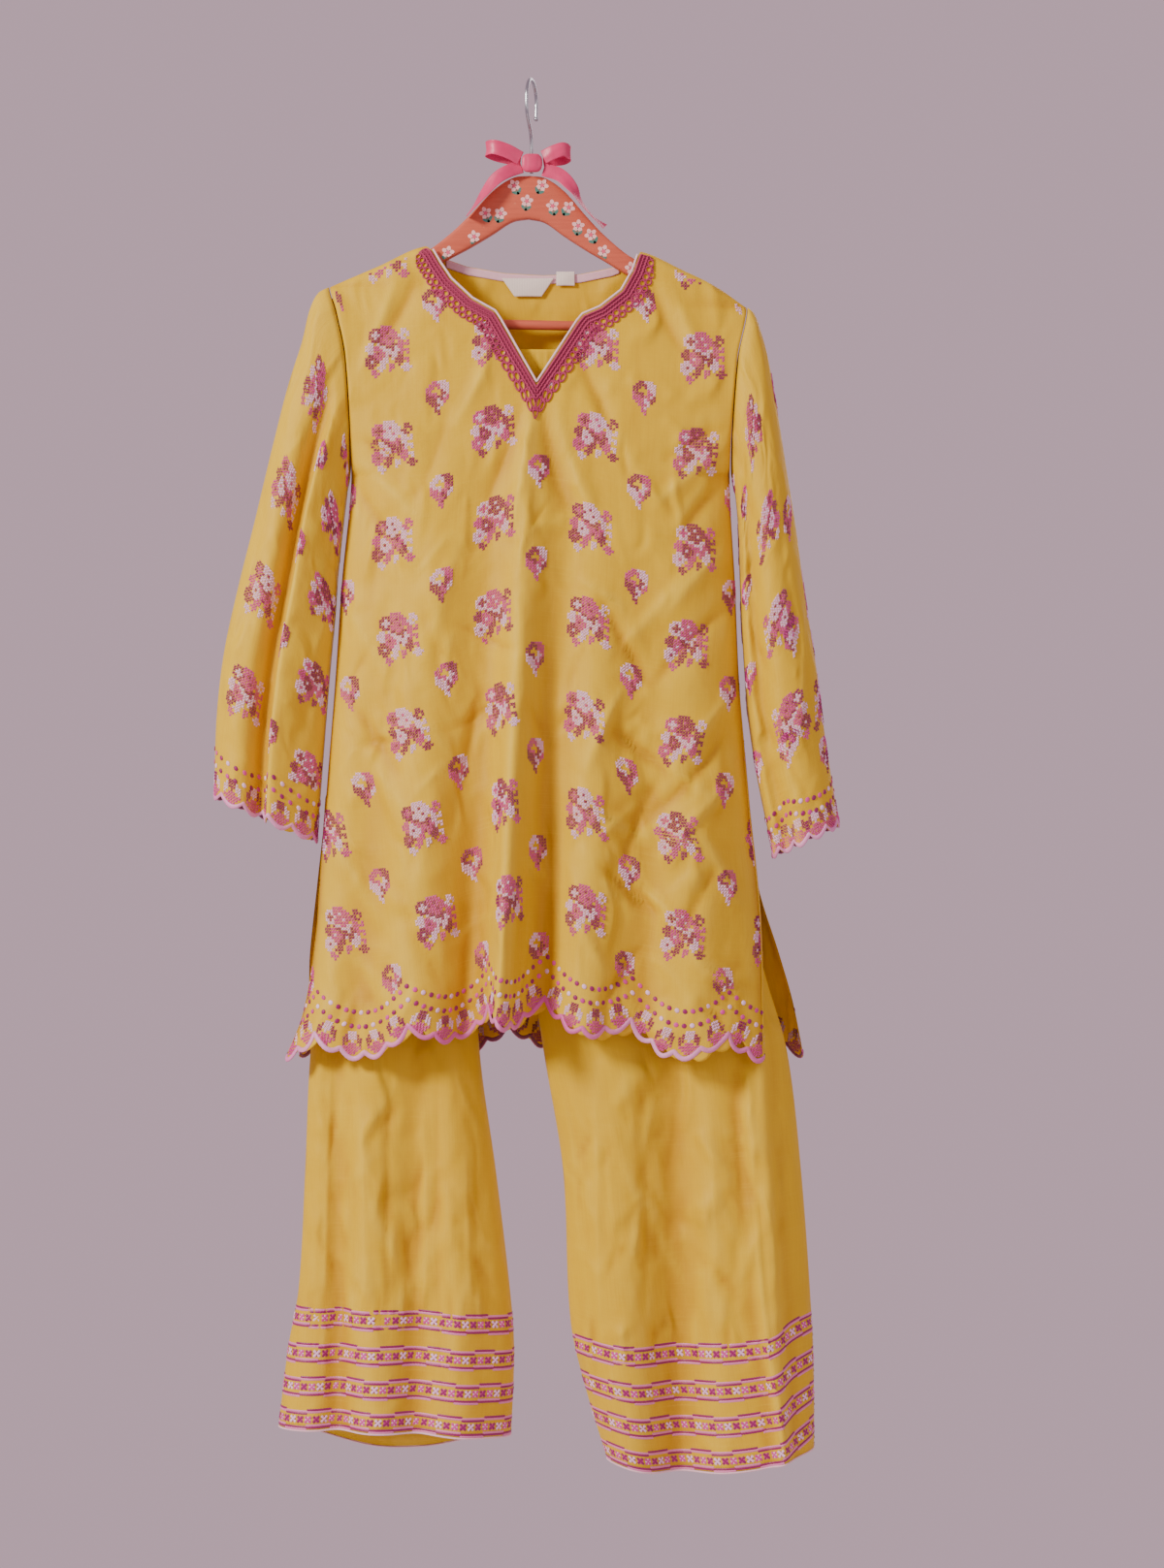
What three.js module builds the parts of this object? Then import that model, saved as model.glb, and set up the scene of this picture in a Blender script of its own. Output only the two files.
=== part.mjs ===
// Salwar kameez suit on a wooden hanger: a yellow kurta with a slit V neck and scalloped hems, and wide trousers.
//
// Millimetres, +Z up, +X to the viewer's right, -Y towards the viewer. The origin is where the hanger's hook
// bears on a rail. "drop" is the distance below the origin, so a point's z is minus its drop.
//
// Every piece of cloth is a thin wall on a surface that is worked out from tables of named sizes: the sides of
// the garment, its depth, and its folds, one row each.
import * as THREE from "three";

// ---------------------------------------------------------------- driving sizes

const CLOTH = 1.5; // wall of the cloth
const SEAM = 0.3; // gap between pieces that are sewn together
const HALF_SEAM = SEAM / 2;
const HEM_DROP = 905; // kurta hem at the side seams
const UNDERARM_DROP = 365;
const SCALLOPS_PER_WAVE = 4;
const WAVE_DEPTH = 20; // big waves of the hem
const SCALLOP_DEPTH = 7; // small scallops between them
const TROUSER_TOP = 250;
const WAISTBAND = 36;
const CROTCH_DROP = 560;

// The line of the shoulders, which lies on the hanger, and the same line carried across the neck.
const RIDGE = [
  { x: -220, drop: 207 }, { x: -187, drop: 191 }, { x: -143, drop: 172 }, { x: -98, drop: 153 },
  { x: 0, drop: 150 }, { x: 101, drop: 158 }, { x: 140, drop: 175 }, { x: 172, drop: 191 },
  { x: 199, drop: 210 }, { x: 220, drop: 224 },
];

// Front neck edge: a round neck that ends in a V slit. Straight between its corners.
const NECK = [
  { x: -98, drop: 153 }, { x: -92, drop: 158 }, { x: -85, drop: 170 }, { x: -75, drop: 185 },
  { x: -55, drop: 204 }, { x: -34, drop: 216 }, { x: -30, drop: 222 }, { x: 5, drop: 284 },
  { x: 43, drop: 225 }, { x: 48, drop: 219 }, { x: 64, drop: 212 }, { x: 84, drop: 196 },
  { x: 94, drop: 178 }, { x: 99.5, drop: 162 }, { x: 101, drop: 158 },
];

// Back neck edge, a shallow dip between the same two shoulder points.
const BACK_NECK = [
  { x: -98, drop: 153 }, { x: -95.5, drop: 155.5 }, { x: -86, drop: 161 }, { x: -60, drop: 170 },
  { x: -25, drop: 176 }, { x: 10, drop: 178 }, { x: 45, drop: 177 }, { x: 75, drop: 171 },
  { x: 94, drop: 164 }, { x: 98.5, drop: 161 }, { x: 101, drop: 158 },
];

// Side edges of the kurta: armhole above the underarm, side seam, and below 745 the open slit, where an edge may
// stand out in front of the hanger's plane by offLeft or offRight.
const FRONT_SIDES = [
  { drop: 150, left: -187, right: 199, offLeft: 0, offRight: 0 },
  { drop: 191, left: -187, right: 199, offLeft: 0, offRight: 0 },
  { drop: 215, left: -180, right: 199, offLeft: 0, offRight: 0 },
  { drop: 260, left: -171, right: 190, offLeft: 0, offRight: 0 },
  { drop: 365, left: -167, right: 184, offLeft: 0, offRight: 0 },
  { drop: 465, left: -176, right: 189, offLeft: 0, offRight: 0 },
  { drop: 555, left: -182, right: 193, offLeft: 0, offRight: 0 },
  { drop: 670, left: -191, right: 202, offLeft: 0, offRight: 0 },
  { drop: 745, left: -196, right: 210, offLeft: 0, offRight: 0 },
  { drop: 790, left: -199, right: 213, offLeft: 3, offRight: 7 },
  { drop: 865, left: -211, right: 214, offLeft: 9, offRight: 25 },
  { drop: 915, left: -231, right: 214, offLeft: 14, offRight: 34 },
];
const BACK_SIDES = [
  { drop: 150, left: -187, right: 199, offLeft: 0, offRight: 0 },
  { drop: 191, left: -187, right: 199, offLeft: 0, offRight: 0 },
  { drop: 215, left: -180, right: 199, offLeft: 0, offRight: 0 },
  { drop: 260, left: -171, right: 190, offLeft: 0, offRight: 0 },
  { drop: 365, left: -167, right: 184, offLeft: 0, offRight: 0 },
  { drop: 465, left: -176, right: 189, offLeft: 0, offRight: 0 },
  { drop: 555, left: -182, right: 193, offLeft: 0, offRight: 0 },
  { drop: 670, left: -191, right: 202, offLeft: 0, offRight: 0 },
  { drop: 745, left: -199, right: 210, offLeft: 0, offRight: 0 },
  { drop: 810, left: -206, right: 230, offLeft: 2, offRight: 3 },
  { drop: 855, left: -208, right: 243, offLeft: 6, offRight: 6 },
  { drop: 915, left: -219, right: 255, offLeft: 14, offRight: 10 },
];

// How far the cloth stands out from the hanger's plane, by the distance below the shoulder line.
const BODY_DEPTH = [
  { below: 0, front: 9.5, back: 9.5 }, { below: 50, front: 15, back: 15 },
  { below: 150, front: 27, back: 25 }, { below: 250, front: 36, back: 31 },
  { below: 400, front: 45, back: 38 }, { below: 550, front: 52, back: 43 },
  { below: 760, front: 60, back: 50 },
];

// Folds that hang down a panel. x is the crest's place at its start and at the hem, depth is out (+) or in (-)
// at the hem, half-widths are at the start and at the hem, lean moves the crest sideways.
const FRONT_FOLDS = [
  { start: 292, xStart: 2, xHem: -25, depth: 37, wStart: 22, wHem: 12, lean: -5 },
  { start: 330, xStart: 34, xHem: 8, depth: -17, wStart: 26, wHem: 15, lean: 0 },
  { start: 360, xStart: 60, xHem: 46, depth: 13, wStart: 30, wHem: 22, lean: 3 },
  { start: 420, xStart: 104, xHem: 100, depth: -10, wStart: 26, wHem: 20, lean: 0 },
  { start: 330, xStart: 150, xHem: 152, depth: 10, wStart: 30, wHem: 26, lean: 3 },
  { start: 330, xStart: -36, xHem: -60, depth: -18, wStart: 26, wHem: 15, lean: 0 },
  { start: 300, xStart: -84, xHem: -106, depth: 12, wStart: 34, wHem: 24, lean: -4 },
  { start: 420, xStart: -130, xHem: -160, depth: -10, wStart: 24, wHem: 22, lean: 0 },
  { start: 560, xStart: -172, xHem: -196, depth: 9, wStart: 18, wHem: 18, lean: 0 },
];
const BACK_FOLDS = [
  { start: 300, xStart: -70, xHem: -92, depth: 20, wStart: 34, wHem: 22, lean: -4 },
  { start: 420, xStart: -20, xHem: -34, depth: -15, wStart: 26, wHem: 20, lean: 0 },
  { start: 280, xStart: 30, xHem: 22, depth: 22, wStart: 34, wHem: 20, lean: 3 },
  { start: 440, xStart: 84, xHem: 88, depth: -14, wStart: 26, wHem: 22, lean: 0 },
  { start: 320, xStart: 128, xHem: 150, depth: 16, wStart: 28, wHem: 24, lean: 4 },
  { start: 560, xStart: -130, xHem: -150, depth: -11, wStart: 24, wHem: 20, lean: 0 },
];

// Sleeve rings from the armhole to the cuff: outer and inner points of each ring, its half-depth towards the
// front and the back, how much of the sleeve's long fold it has, and how far it follows the armhole's curve.
const LEFT_SLEEVE = [
  { xOut: -187.5, outDrop: 191, xIn: -167.5, inDrop: 366, front: 18, back: 18, fold: 0, bow: 1 },
  { xOut: -198, outDrop: 197, xIn: -168, inDrop: 371, front: 21, back: 20, fold: 0.15, bow: 0.8 },
  { xOut: -206, outDrop: 214, xIn: -170, inDrop: 380, front: 24, back: 22, fold: 0.4, bow: 0.6 },
  { xOut: -213, outDrop: 243, xIn: -172, inDrop: 396, front: 27, back: 24, fold: 0.7, bow: 0.4 },
  { xOut: -226, outDrop: 284, xIn: -175, inDrop: 420, front: 30, back: 26, fold: 0.9, bow: 0.2 },
  { xOut: -241, outDrop: 343, xIn: -179, inDrop: 456, front: 33, back: 28, fold: 1, bow: 0 },
  { xOut: -257, outDrop: 410, xIn: -182, inDrop: 498, front: 35, back: 30, fold: 1, bow: 0 },
  { xOut: -272, outDrop: 470, xIn: -186, inDrop: 540, front: 36, back: 31, fold: 1, bow: 0 },
  { xOut: -285, outDrop: 530, xIn: -190, inDrop: 588, front: 36, back: 32, fold: 1, bow: 0 },
  { xOut: -292, outDrop: 592, xIn: -194, inDrop: 640, front: 36, back: 32, fold: 1, bow: 0 },
  { xOut: -294, outDrop: 662, xIn: -199, inDrop: 703, front: 35, back: 31, fold: 1, bow: 0 },
];
const RIGHT_SLEEVE = [
  { xOut: 199.5, outDrop: 210, xIn: 184.5, inDrop: 366, front: 18, back: 18, fold: 0, bow: 1 },
  { xOut: 206, outDrop: 216, xIn: 186, inDrop: 371, front: 22, back: 21, fold: 0.1, bow: 0.8 },
  { xOut: 212, outDrop: 232, xIn: 188, inDrop: 381, front: 26, back: 24, fold: 0.3, bow: 0.6 },
  { xOut: 219, outDrop: 258, xIn: 190, inDrop: 396, front: 30, back: 28, fold: 0.5, bow: 0.4 },
  { xOut: 227, outDrop: 302, xIn: 192, inDrop: 422, front: 34, back: 32, fold: 0.8, bow: 0.2 },
  { xOut: 236, outDrop: 358, xIn: 193, inDrop: 456, front: 38, back: 35, fold: 1, bow: 0 },
  { xOut: 245, outDrop: 415, xIn: 194.5, inDrop: 496, front: 40, back: 37, fold: 1, bow: 0 },
  { xOut: 253, outDrop: 475, xIn: 197, inDrop: 540, front: 41, back: 38, fold: 1, bow: 0 },
  { xOut: 264, outDrop: 545, xIn: 201, inDrop: 592, front: 40, back: 38, fold: 1, bow: 0 },
  { xOut: 273, outDrop: 615, xIn: 210, inDrop: 650, front: 38, back: 36, fold: 1, bow: 0 },
  { xOut: 285, outDrop: 688, xIn: 224, inDrop: 717, front: 36, back: 34, fold: 1, bow: 0 },
];
// Long folds round a sleeve ring: the angle from the outer point through the front, half-width in radians,
// depth as a share of the ring's depth, and how far the crest leans, as a share of the ring's width.
const LEFT_SLEEVE_FOLDS = [
  { angle: 1.5, width: 0.24, depth: -0.85, lean: 0 },
  { angle: 1.98, width: 0.26, depth: 0.25, lean: -0.13 },
  { angle: 4.6, width: 0.4, depth: -0.3, lean: 0 },
];
const RIGHT_SLEEVE_FOLDS = [
  { angle: 2.2, width: 0.3, depth: -0.3, lean: 0 },
  { angle: 4.2, width: 0.4, depth: -0.35, lean: 0 },
];
const SLEEVE_SCALLOPS = 12;

// Trouser legs: outer and inner edge, and depth, by drop. Above the crotch the inner edge is the centre seam.
const LEFT_LEG = [
  { drop: 250, outer: -138, inner: 8, front: 11, back: 11 },
  { drop: 330, outer: -150, inner: 0, front: 13, back: 13 },
  { drop: 450, outer: -160, inner: -14, front: 17, back: 17 },
  { drop: 560, outer: -170, inner: -26, front: 20, back: 19 },
  { drop: 680, outer: -182, inner: -42, front: 23, back: 22 },
  { drop: 800, outer: -193, inner: -51, front: 26, back: 24 },
  { drop: 900, outer: -205, inner: -48, front: 28, back: 26 },
  { drop: 1010, outer: -210, inner: -33, front: 31, back: 29 },
  { drop: 1119, outer: -216, inner: -20, front: 34, back: 33 },
  { drop: 1176, outer: -226, inner: -16, front: 36, back: 37 },
  { drop: 1260, outer: -236, inner: -19, front: 38, back: 40 },
];
const RIGHT_LEG = [
  { drop: 250, outer: 154, inner: 8, front: 11, back: 11 },
  { drop: 330, outer: 162, inner: 0, front: 13, back: 13 },
  { drop: 450, outer: 170, inner: -14, front: 17, back: 17 },
  { drop: 560, outer: 179, inner: -26, front: 20, back: 19 },
  { drop: 680, outer: 190, inner: -16, front: 24, back: 22 },
  { drop: 760, outer: 199, inner: -7, front: 27, back: 24 },
  { drop: 830, outer: 217, inner: 1, front: 29, back: 26 },
  { drop: 900, outer: 237, inner: 11, front: 32, back: 28 },
  { drop: 1010, outer: 250, inner: 29, front: 36, back: 31 },
  { drop: 1150, outer: 260, inner: 36, front: 38, back: 34 },
  { drop: 1216, outer: 262, inner: 51, front: 39, back: 35 },
  { drop: 1290, outer: 262, inner: 74, front: 39, back: 36 },
];
// Hem of each leg, by the share of the way from the outer to the inner edge.
const LEFT_HEM = [
  { share: 0, front: 1246, back: 1246 },
  { share: 0.5, front: 1246, back: 1276 },
  { share: 1, front: 1254, back: 1254 },
];
const RIGHT_HEM = [
  { share: 0, front: 1266, back: 1266 },
  { share: 0.3, front: 1280, back: 1276 },
  { share: 0.75, front: 1285, back: 1281 },
  { share: 1, front: 1276, back: 1276 },
];
const LEFT_LEG_FOLDS = [
  { start: 700, xStart: -182, xHem: -178, depth: -17, wStart: 12, wHem: 17, lean: 0 },
  { start: 640, xStart: -150, xHem: -142, depth: 9, wStart: 16, wHem: 26, lean: 0 },
  { start: 700, xStart: -104, xHem: -106, depth: -10, wStart: 14, wHem: 16, lean: 0 },
  { start: 640, xStart: -82, xHem: -62, depth: 8, wStart: 14, wHem: 20, lean: 0 },
];
const RIGHT_LEG_FOLDS = [
  { start: 640, xStart: 124, xHem: 138, depth: -26, wStart: 20, wHem: 26, lean: 0 },
  { start: 640, xStart: 60, xHem: 84, depth: 8, wStart: 26, wHem: 26, lean: 0 },
  { start: 560, xStart: 192, xHem: 232, depth: 13, wStart: 10, wHem: 9, lean: 0 },
];
const BACK_LEG_FOLDS = [
  { start: 500, xStart: -110, xHem: -120, depth: 9, wStart: 22, wHem: 26, lean: 0 },
  { start: 520, xStart: 110, xHem: 176, depth: 10, wStart: 22, wHem: 28, lean: 0 },
];

// ---------------------------------------------------------------- small helpers

const clamp = (v, low = 0, high = 1) => Math.min(high, Math.max(low, v));
const lerp = (a, b, t) => a + (b - a) * t;
const ease = (t) => clamp(t) ** 2 * (3 - 2 * clamp(t));
const at = (x, y, drop) => new THREE.Vector3(x, y, -drop);
const range = (n) => Array.from({ length: n + 1 }, (_, i) => i / n);

// A column's value at a place along a table, on a smooth curve through its rows.
function smooth(table, key, place, column) {
  const last = table.length - 1;
  let i = 0;
  while (i < last - 1 && place > table[i + 1][key]) i++;
  const slope = (j) => {
    const a = table[Math.max(j - 1, 0)];
    const b = table[Math.min(j + 1, last)];
    return (b[column] - a[column]) / (b[key] - a[key]);
  };
  const span = table[i + 1][key] - table[i][key];
  const t = clamp((place - table[i][key]) / span);
  return (
    (2 * t ** 3 - 3 * t ** 2 + 1) * table[i][column] +
    (t ** 3 - 2 * t ** 2 + t) * span * slope(i) +
    (3 * t ** 2 - 2 * t ** 3) * table[i + 1][column] +
    (t ** 3 - t ** 2) * span * slope(i + 1)
  );
}

// The same, but straight from row to row.
function straight(table, key, place, column) {
  let i = 0;
  while (i < table.length - 2 && place > table[i + 1][key]) i++;
  const t = clamp((place - table[i][key]) / (table[i + 1][key] - table[i][key]));
  return lerp(table[i][column], table[i + 1][column], t);
}

// The sum of a panel's folds at a point: how far out, and how far sideways.
function foldAt(folds, x, drop, hem) {
  let out = 0;
  let aside = 0;
  for (const f of folds) {
    const grown = clamp((drop - f.start) / (hem - f.start), 0, 1.1);
    const crest = lerp(f.xStart, f.xHem, grown);
    const bump = Math.exp(-(((x - crest) / lerp(f.wStart, f.wHem, grown)) ** 2)) * grown ** 0.8;
    out += f.depth * bump;
    aside += f.lean * bump;
  }
  return { out, aside };
}

// A closed wall on rows of points. Rows may differ in length: "places" gives each point's place along its row, and
// faces join the points that are nearest in place. The sign of "wall" picks the side that the thickness goes to;
// "ring" joins each row's ends; "lock" may move an inner point.
function clothWall(rows, wall, options = {}) {
  const { ring = false, lock = null } = options;
  const places = options.places ?? rows.map((row) => row.map((_, i) => i / (row.length - 1)));
  const first = rows.map((_, r) => rows.slice(0, r).flat().length);
  const id = (r, c) => first[r] + (ring ? c % rows[r].length : c);
  const steps = rows.map((row) => (ring ? row.length : row.length - 1));
  const outer = rows.flat();
  const faces = [];
  for (let r = 0; r < rows.length - 1; r++) {
    const middle = (row, c) => (ring ? (c + 0.5) / steps[row] : (places[row][c] + places[row][c + 1]) / 2);
    let a = 0;
    let b = 0;
    while (a < steps[r] || b < steps[r + 1]) {
      const alongUpper = b === steps[r + 1] || (a < steps[r] && middle(r, a) <= middle(r + 1, b));
      faces.push([id(r, a), alongUpper ? id(r, a + 1) : id(r + 1, b + 1), id(r + 1, b)]);
      if (alongUpper) a++;
      else b++;
    }
  }
  const normals = outer.map(() => new THREE.Vector3());
  for (const [i, j, k] of faces) {
    const n = outer[j].clone().sub(outer[i]).cross(outer[k].clone().sub(outer[i]));
    for (const corner of [i, j, k]) normals[corner].add(n);
  }
  const inner = rows.flatMap((row, r) =>
    row.map((p, c) => {
      const moved = p.clone().addScaledVector(normals[id(r, c)].normalize(), wall);
      if (lock) lock(moved, p, r, c);
      return moved;
    }),
  );
  const index = faces.flatMap(([i, j, k]) => [i, j, k, i + outer.length, k + outer.length, j + outer.length]);
  const rim = (i, j) => index.push(j, i, i + outer.length, j, i + outer.length, j + outer.length);
  const bottom = rows.length - 1;
  for (let c = 0; c < steps[0]; c++) rim(id(0, c), id(0, c + 1));
  for (let c = 0; c < steps[bottom]; c++) rim(id(bottom, c + 1), id(bottom, c));
  for (let r = 0; r < bottom && !ring; r++) {
    rim(id(r + 1, 0), id(r, 0));
    rim(id(r, steps[r]), id(r + 1, steps[r + 1]));
  }
  return facingOut([...outer, ...inner].flatMap((p) => p.toArray()), index);
}

// A geometry whose faces point out: they are turned round if its volume comes out negative.
function facingOut(positions, index) {
  const p = (i) => new THREE.Vector3().fromArray(positions, 3 * i);
  let volume = 0;
  for (let i = 0; i < index.length; i += 3) volume += p(index[i]).dot(p(index[i + 1]).cross(p(index[i + 2])));
  if (volume < 0) index.reverse();
  const geometry = new THREE.BufferGeometry();
  geometry.setAttribute("position", new THREE.Float32BufferAttribute(positions, 3));
  geometry.setIndex(index);
  geometry.computeVertexNormals();
  return geometry;
}

const suit = new THREE.Group();
function finish(color, roughness, metalness = 0) {
  return new THREE.MeshStandardMaterial({ color, roughness, metalness });
}
const YELLOW = finish(0xc9993c, 0.75);
const PINK = finish(0xb0506a, 0.8);
const PALE_PINK = finish(0xe3bcc4, 0.8);
const CREAM = finish(0xe6dccb, 0.85);
const ORANGE_WOOD = finish(0xc1674b, 0.5);
const STEEL = finish(0xb5bcc0, 0.25, 1);
const SATIN = finish(0xd9687f, 0.4);

function add(name, geometry, material, parent = suit) {
  const mesh = new THREE.Mesh(geometry, material);
  mesh.name = name;
  parent.add(mesh);
  return mesh;
}

// ---------------------------------------------------------------- kurta body

// The grain of a panel is lifted at the middle, where the folds take the cloth in, and more in front than behind.
const FRONT_LIFT = 34;
const BACK_LIFT = 6;
function grainLift(face, u, level) {
  const lift = face < 0 ? FRONT_LIFT : BACK_LIFT;
  return lift * (1 - Math.exp(-Math.max(level - 180, 0) / 150)) * Math.exp(-((u / 0.45) ** 2));
}

// How far the armhole's edges stand out from the middle plane, by the share of the way down the armhole.
const ARMHOLE_DEPTH = 18;
function armholeDepth(drop, tipDrop) {
  const share = clamp((drop - tipDrop) / (UNDERARM_DROP - tipDrop));
  return ARMHOLE_DEPTH * 2 * Math.sqrt(share * (1 - share));
}

// A point of the kurta's front (face -1) or back (face 1): u runs from the left edge, -1, to the right edge, 1,
// and level is the drop along the cloth's grain.
function kurtaPoint(face, u, level) {
  const sides = face < 0 ? FRONT_SIDES : BACK_SIDES;
  const drop = level - grainLift(face, u, level);
  const left = smooth(sides, "drop", drop, "left");
  const right = smooth(sides, "drop", drop, "right");
  const x = lerp(left, right, (u + 1) / 2);
  const below = Math.max(drop - smooth(RIDGE, "x", x, "drop"), 0);
  const depth = smooth(BODY_DEPTH, "below", below, face < 0 ? "front" : "back");
  const rounded = Math.sqrt(Math.max(1 - Math.abs(u) ** 4, 0));
  const slit = straight(sides, "drop", drop, u < 0 ? "offLeft" : "offRight");
  const edge = armholeDepth(drop, u < 0 ? RIDGE[1].drop : RIDGE[8].drop) + slit;
  const wrap = Math.sqrt(1 - (1 - clamp(below / 8)) ** 2);
  const fold = foldAt(face < 0 ? FRONT_FOLDS : BACK_FOLDS, x, drop, HEM_DROP);
  const inside = 1 - Math.abs(u) ** 8;
  const out = wrap * (lerp(edge, Math.max(depth, edge), rounded) + fold.out * inside);
  return at(x + fold.aside * inside, face * (HALF_SEAM + out), drop);
}

// Places, from -1 to 1, that are evenly spaced along the cloth at a level.
function evenAcross(face, level, count) {
  const fine = range(400).map((t) => 2 * t - 1);
  const points = fine.map((u) => kurtaPoint(face, u, level));
  const lengths = [0];
  for (let i = 1; i < fine.length; i++)
    lengths.push(lengths[i - 1] + points[i].distanceTo(points[i - 1]));
  const total = lengths[lengths.length - 1];
  return range(count).map((share) => {
    const i = Math.max(lengths.findIndex((l) => l >= share * total - 1e-9), 1);
    return lerp(fine[i - 1], fine[i], (share * total - lengths[i - 1]) / (lengths[i] - lengths[i - 1]));
  });
}

// The drop of a hem by the distance along it in small scallops: big waves, with small scallops on them. The
// waves' high points are two scallops from each end.
function hemDrop(scallop) {
  const wave = Math.abs(Math.sin((Math.PI * (scallop - 2)) / SCALLOPS_PER_WAVE));
  const small = Math.abs(Math.sin(Math.PI * scallop));
  return HEM_DROP + WAVE_DEPTH * (wave - 1) + SCALLOP_DEPTH * (small - 0.5);
}

// Columns along a panel's top edge: one at each point of the neck edge that is named, and others between them.
function topColumns(face, neck, steps) {
  const sides = face < 0 ? FRONT_SIDES : BACK_SIDES;
  const place = ({ x, drop }) => {
    const left = smooth(sides, "drop", drop, "left");
    return (2 * (x - left)) / (smooth(sides, "drop", drop, "right") - left) - 1;
  };
  const corners = [-1, ...neck.map(place), 1];
  const between = (count, i) => range(count).slice(1).map((t) => lerp(corners[i], corners[i + 1], t));
  return [-1, ...steps.flatMap(between)];
}

// The top edge at a place across the panel: the shoulder, or the neck's edge, as a level.
function topLevel(face, neck, u) {
  const sides = face < 0 ? FRONT_SIDES : BACK_SIDES;
  let drop = 190;
  for (let i = 0; i < 12; i++) {
    const x = lerp(smooth(sides, "drop", drop, "left"), smooth(sides, "drop", drop, "right"), (u + 1) / 2);
    const inNeck = x > neck[0].x && x < neck[neck.length - 1].x;
    drop = inNeck ? straight(neck, "x", x, "drop") : smooth(RIDGE, "x", x, "drop");
  }
  let level = drop;
  for (let i = 0; i < 12; i++) level = drop + grainLift(face, u, level);
  return level;
}

const WRAP_ROWS = [0, 3, 9]; // distances below the top edge, where the cloth turns over the hanger
const ROWS = 13;
const SLOW_COLUMNS = 26; // across the body, between the neck edge and the hem
const HEM_COLUMNS = 48; // two for each small scallop

// One body panel, from its shoulders and neck edge down to its scalloped hem.
function kurtaPanel(face, neck, steps) {
  const tops = topColumns(face, neck, steps);
  const hems = evenAcross(face, HEM_DROP, SLOW_COLUMNS);
  const even = range(SLOW_COLUMNS).map((t) => 2 * t - 1);
  const row = (places, levelAt) => {
    return { places, points: places.map((u, i) => kurtaPoint(face, u, levelAt(u, i))) };
  };
  const rows = WRAP_ROWS.map((down) => row(tops, (u) => topLevel(face, neck, u) + down));
  for (const share of range(ROWS).slice(1, -1)) {
    const places = even.map((u, i) => lerp(u, hems[i], ease(1.5 * share)));
    rows.push(row(places, (u) => lerp(topLevel(face, neck, u) + WRAP_ROWS[2], HEM_DROP, share)));
  }
  rows.push(row(evenAcross(face, HEM_DROP, HEM_COLUMNS), (u, i) => hemDrop(i / 2)));
  const lock = (moved, p, r, c) => {
    moved.y = face < 0 ? Math.min(moved.y, -HALF_SEAM) : Math.max(moved.y, HALF_SEAM);
    if ((c === 0 || c === rows[r].points.length - 1) && -p.z < UNDERARM_DROP) moved.x = p.x;
  };
  const places = rows.map((r) => r.places);
  return clothWall(rows.map((r) => r.points), face < 0 ? CLOTH : -CLOTH, { lock, places });
}

// How many columns there are between one named point of the neck edge and the next.
const FRONT_STEPS = [5, 1, 1, 1, 2, 2, 1, 4, 4, 1, 2, 2, 1, 1, 1, 5];
const BACK_STEPS = [5, 1, 1, 2, 2, 2, 2, 2, 1, 1, 1, 5];

add("kurta_front", kurtaPanel(-1, NECK, FRONT_STEPS), YELLOW);
add("kurta_back", kurtaPanel(1, BACK_NECK, BACK_STEPS), YELLOW);

// ---------------------------------------------------------------- sleeves

const RING_POINTS = 18; // round the sleeve above its scalloped cuff

// A point of a sleeve: angle runs round the ring from its outer point, through the front, and back.
function sleevePoint(rings, folds, angle, ring) {
  const r = rings[ring];
  const depth = Math.sin(angle) > 0 ? r.front : r.back;
  let share = (1 - Math.cos(angle)) / 2;
  let out = Math.sign(Math.sin(angle)) * Math.abs(Math.sin(angle)) ** lerp(0.8, 1, r.bow);
  for (const f of folds) {
    const bump = Math.exp(-(((angle - f.angle) / f.width) ** 2)) * r.fold;
    out += f.depth * bump * Math.sign(out);
    share += f.lean * bump;
  }
  const seam = rings[0];
  const side = Math.sign(seam.xOut);
  const seamDrop = lerp(seam.outDrop, seam.inDrop, share);
  const armhole = smooth(FRONT_SIDES, "drop", seamDrop, side < 0 ? "left" : "right");
  const bow = r.bow * (armhole + side * 1.2 - lerp(seam.xOut, seam.xIn, share));
  return at(lerp(r.xOut, r.xIn, share) + bow, -depth * out, lerp(r.outDrop, r.inDrop, share));
}

function sleeve(rings, folds, side) {
  const cuff = rings.length - 1;
  const points = rings.map((_, ring) =>
    range(ring < cuff ? RING_POINTS : 2 * SLEEVE_SCALLOPS).slice(0, -1).map((t, i) => {
      const p = sleevePoint(rings, folds, 2 * Math.PI * t, ring);
      if (ring === cuff) p.z -= SCALLOP_DEPTH * ((i % 2) - 0.5);
      return p;
    }),
  );
  const lock = (moved, p, r) => {
    if (r === 0) moved.x = p.x;
  };
  return clothWall(points, side < 0 ? CLOTH : -CLOTH, { ring: true, lock });
}

add("sleeve_left", sleeve(LEFT_SLEEVE, LEFT_SLEEVE_FOLDS, -1), YELLOW);
add("sleeve_right", sleeve(RIGHT_SLEEVE, RIGHT_SLEEVE_FOLDS, 1), YELLOW);

// ---------------------------------------------------------------- neck: lace, piping, tape and labels

// A point on the kurta near the neck, at a place in x and a drop, moved out from the cloth.
function onBody(face, x, drop, out) {
  const sides = face < 0 ? FRONT_SIDES : BACK_SIDES;
  const left = smooth(sides, "drop", drop, "left");
  const u = (2 * (x - left)) / (smooth(sides, "drop", drop, "right") - left) - 1;
  const level = drop + grainLift(face, u, drop + grainLift(face, u, drop));
  const p = kurtaPoint(face, u, level);
  p.y += face * out;
  return p;
}

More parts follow.
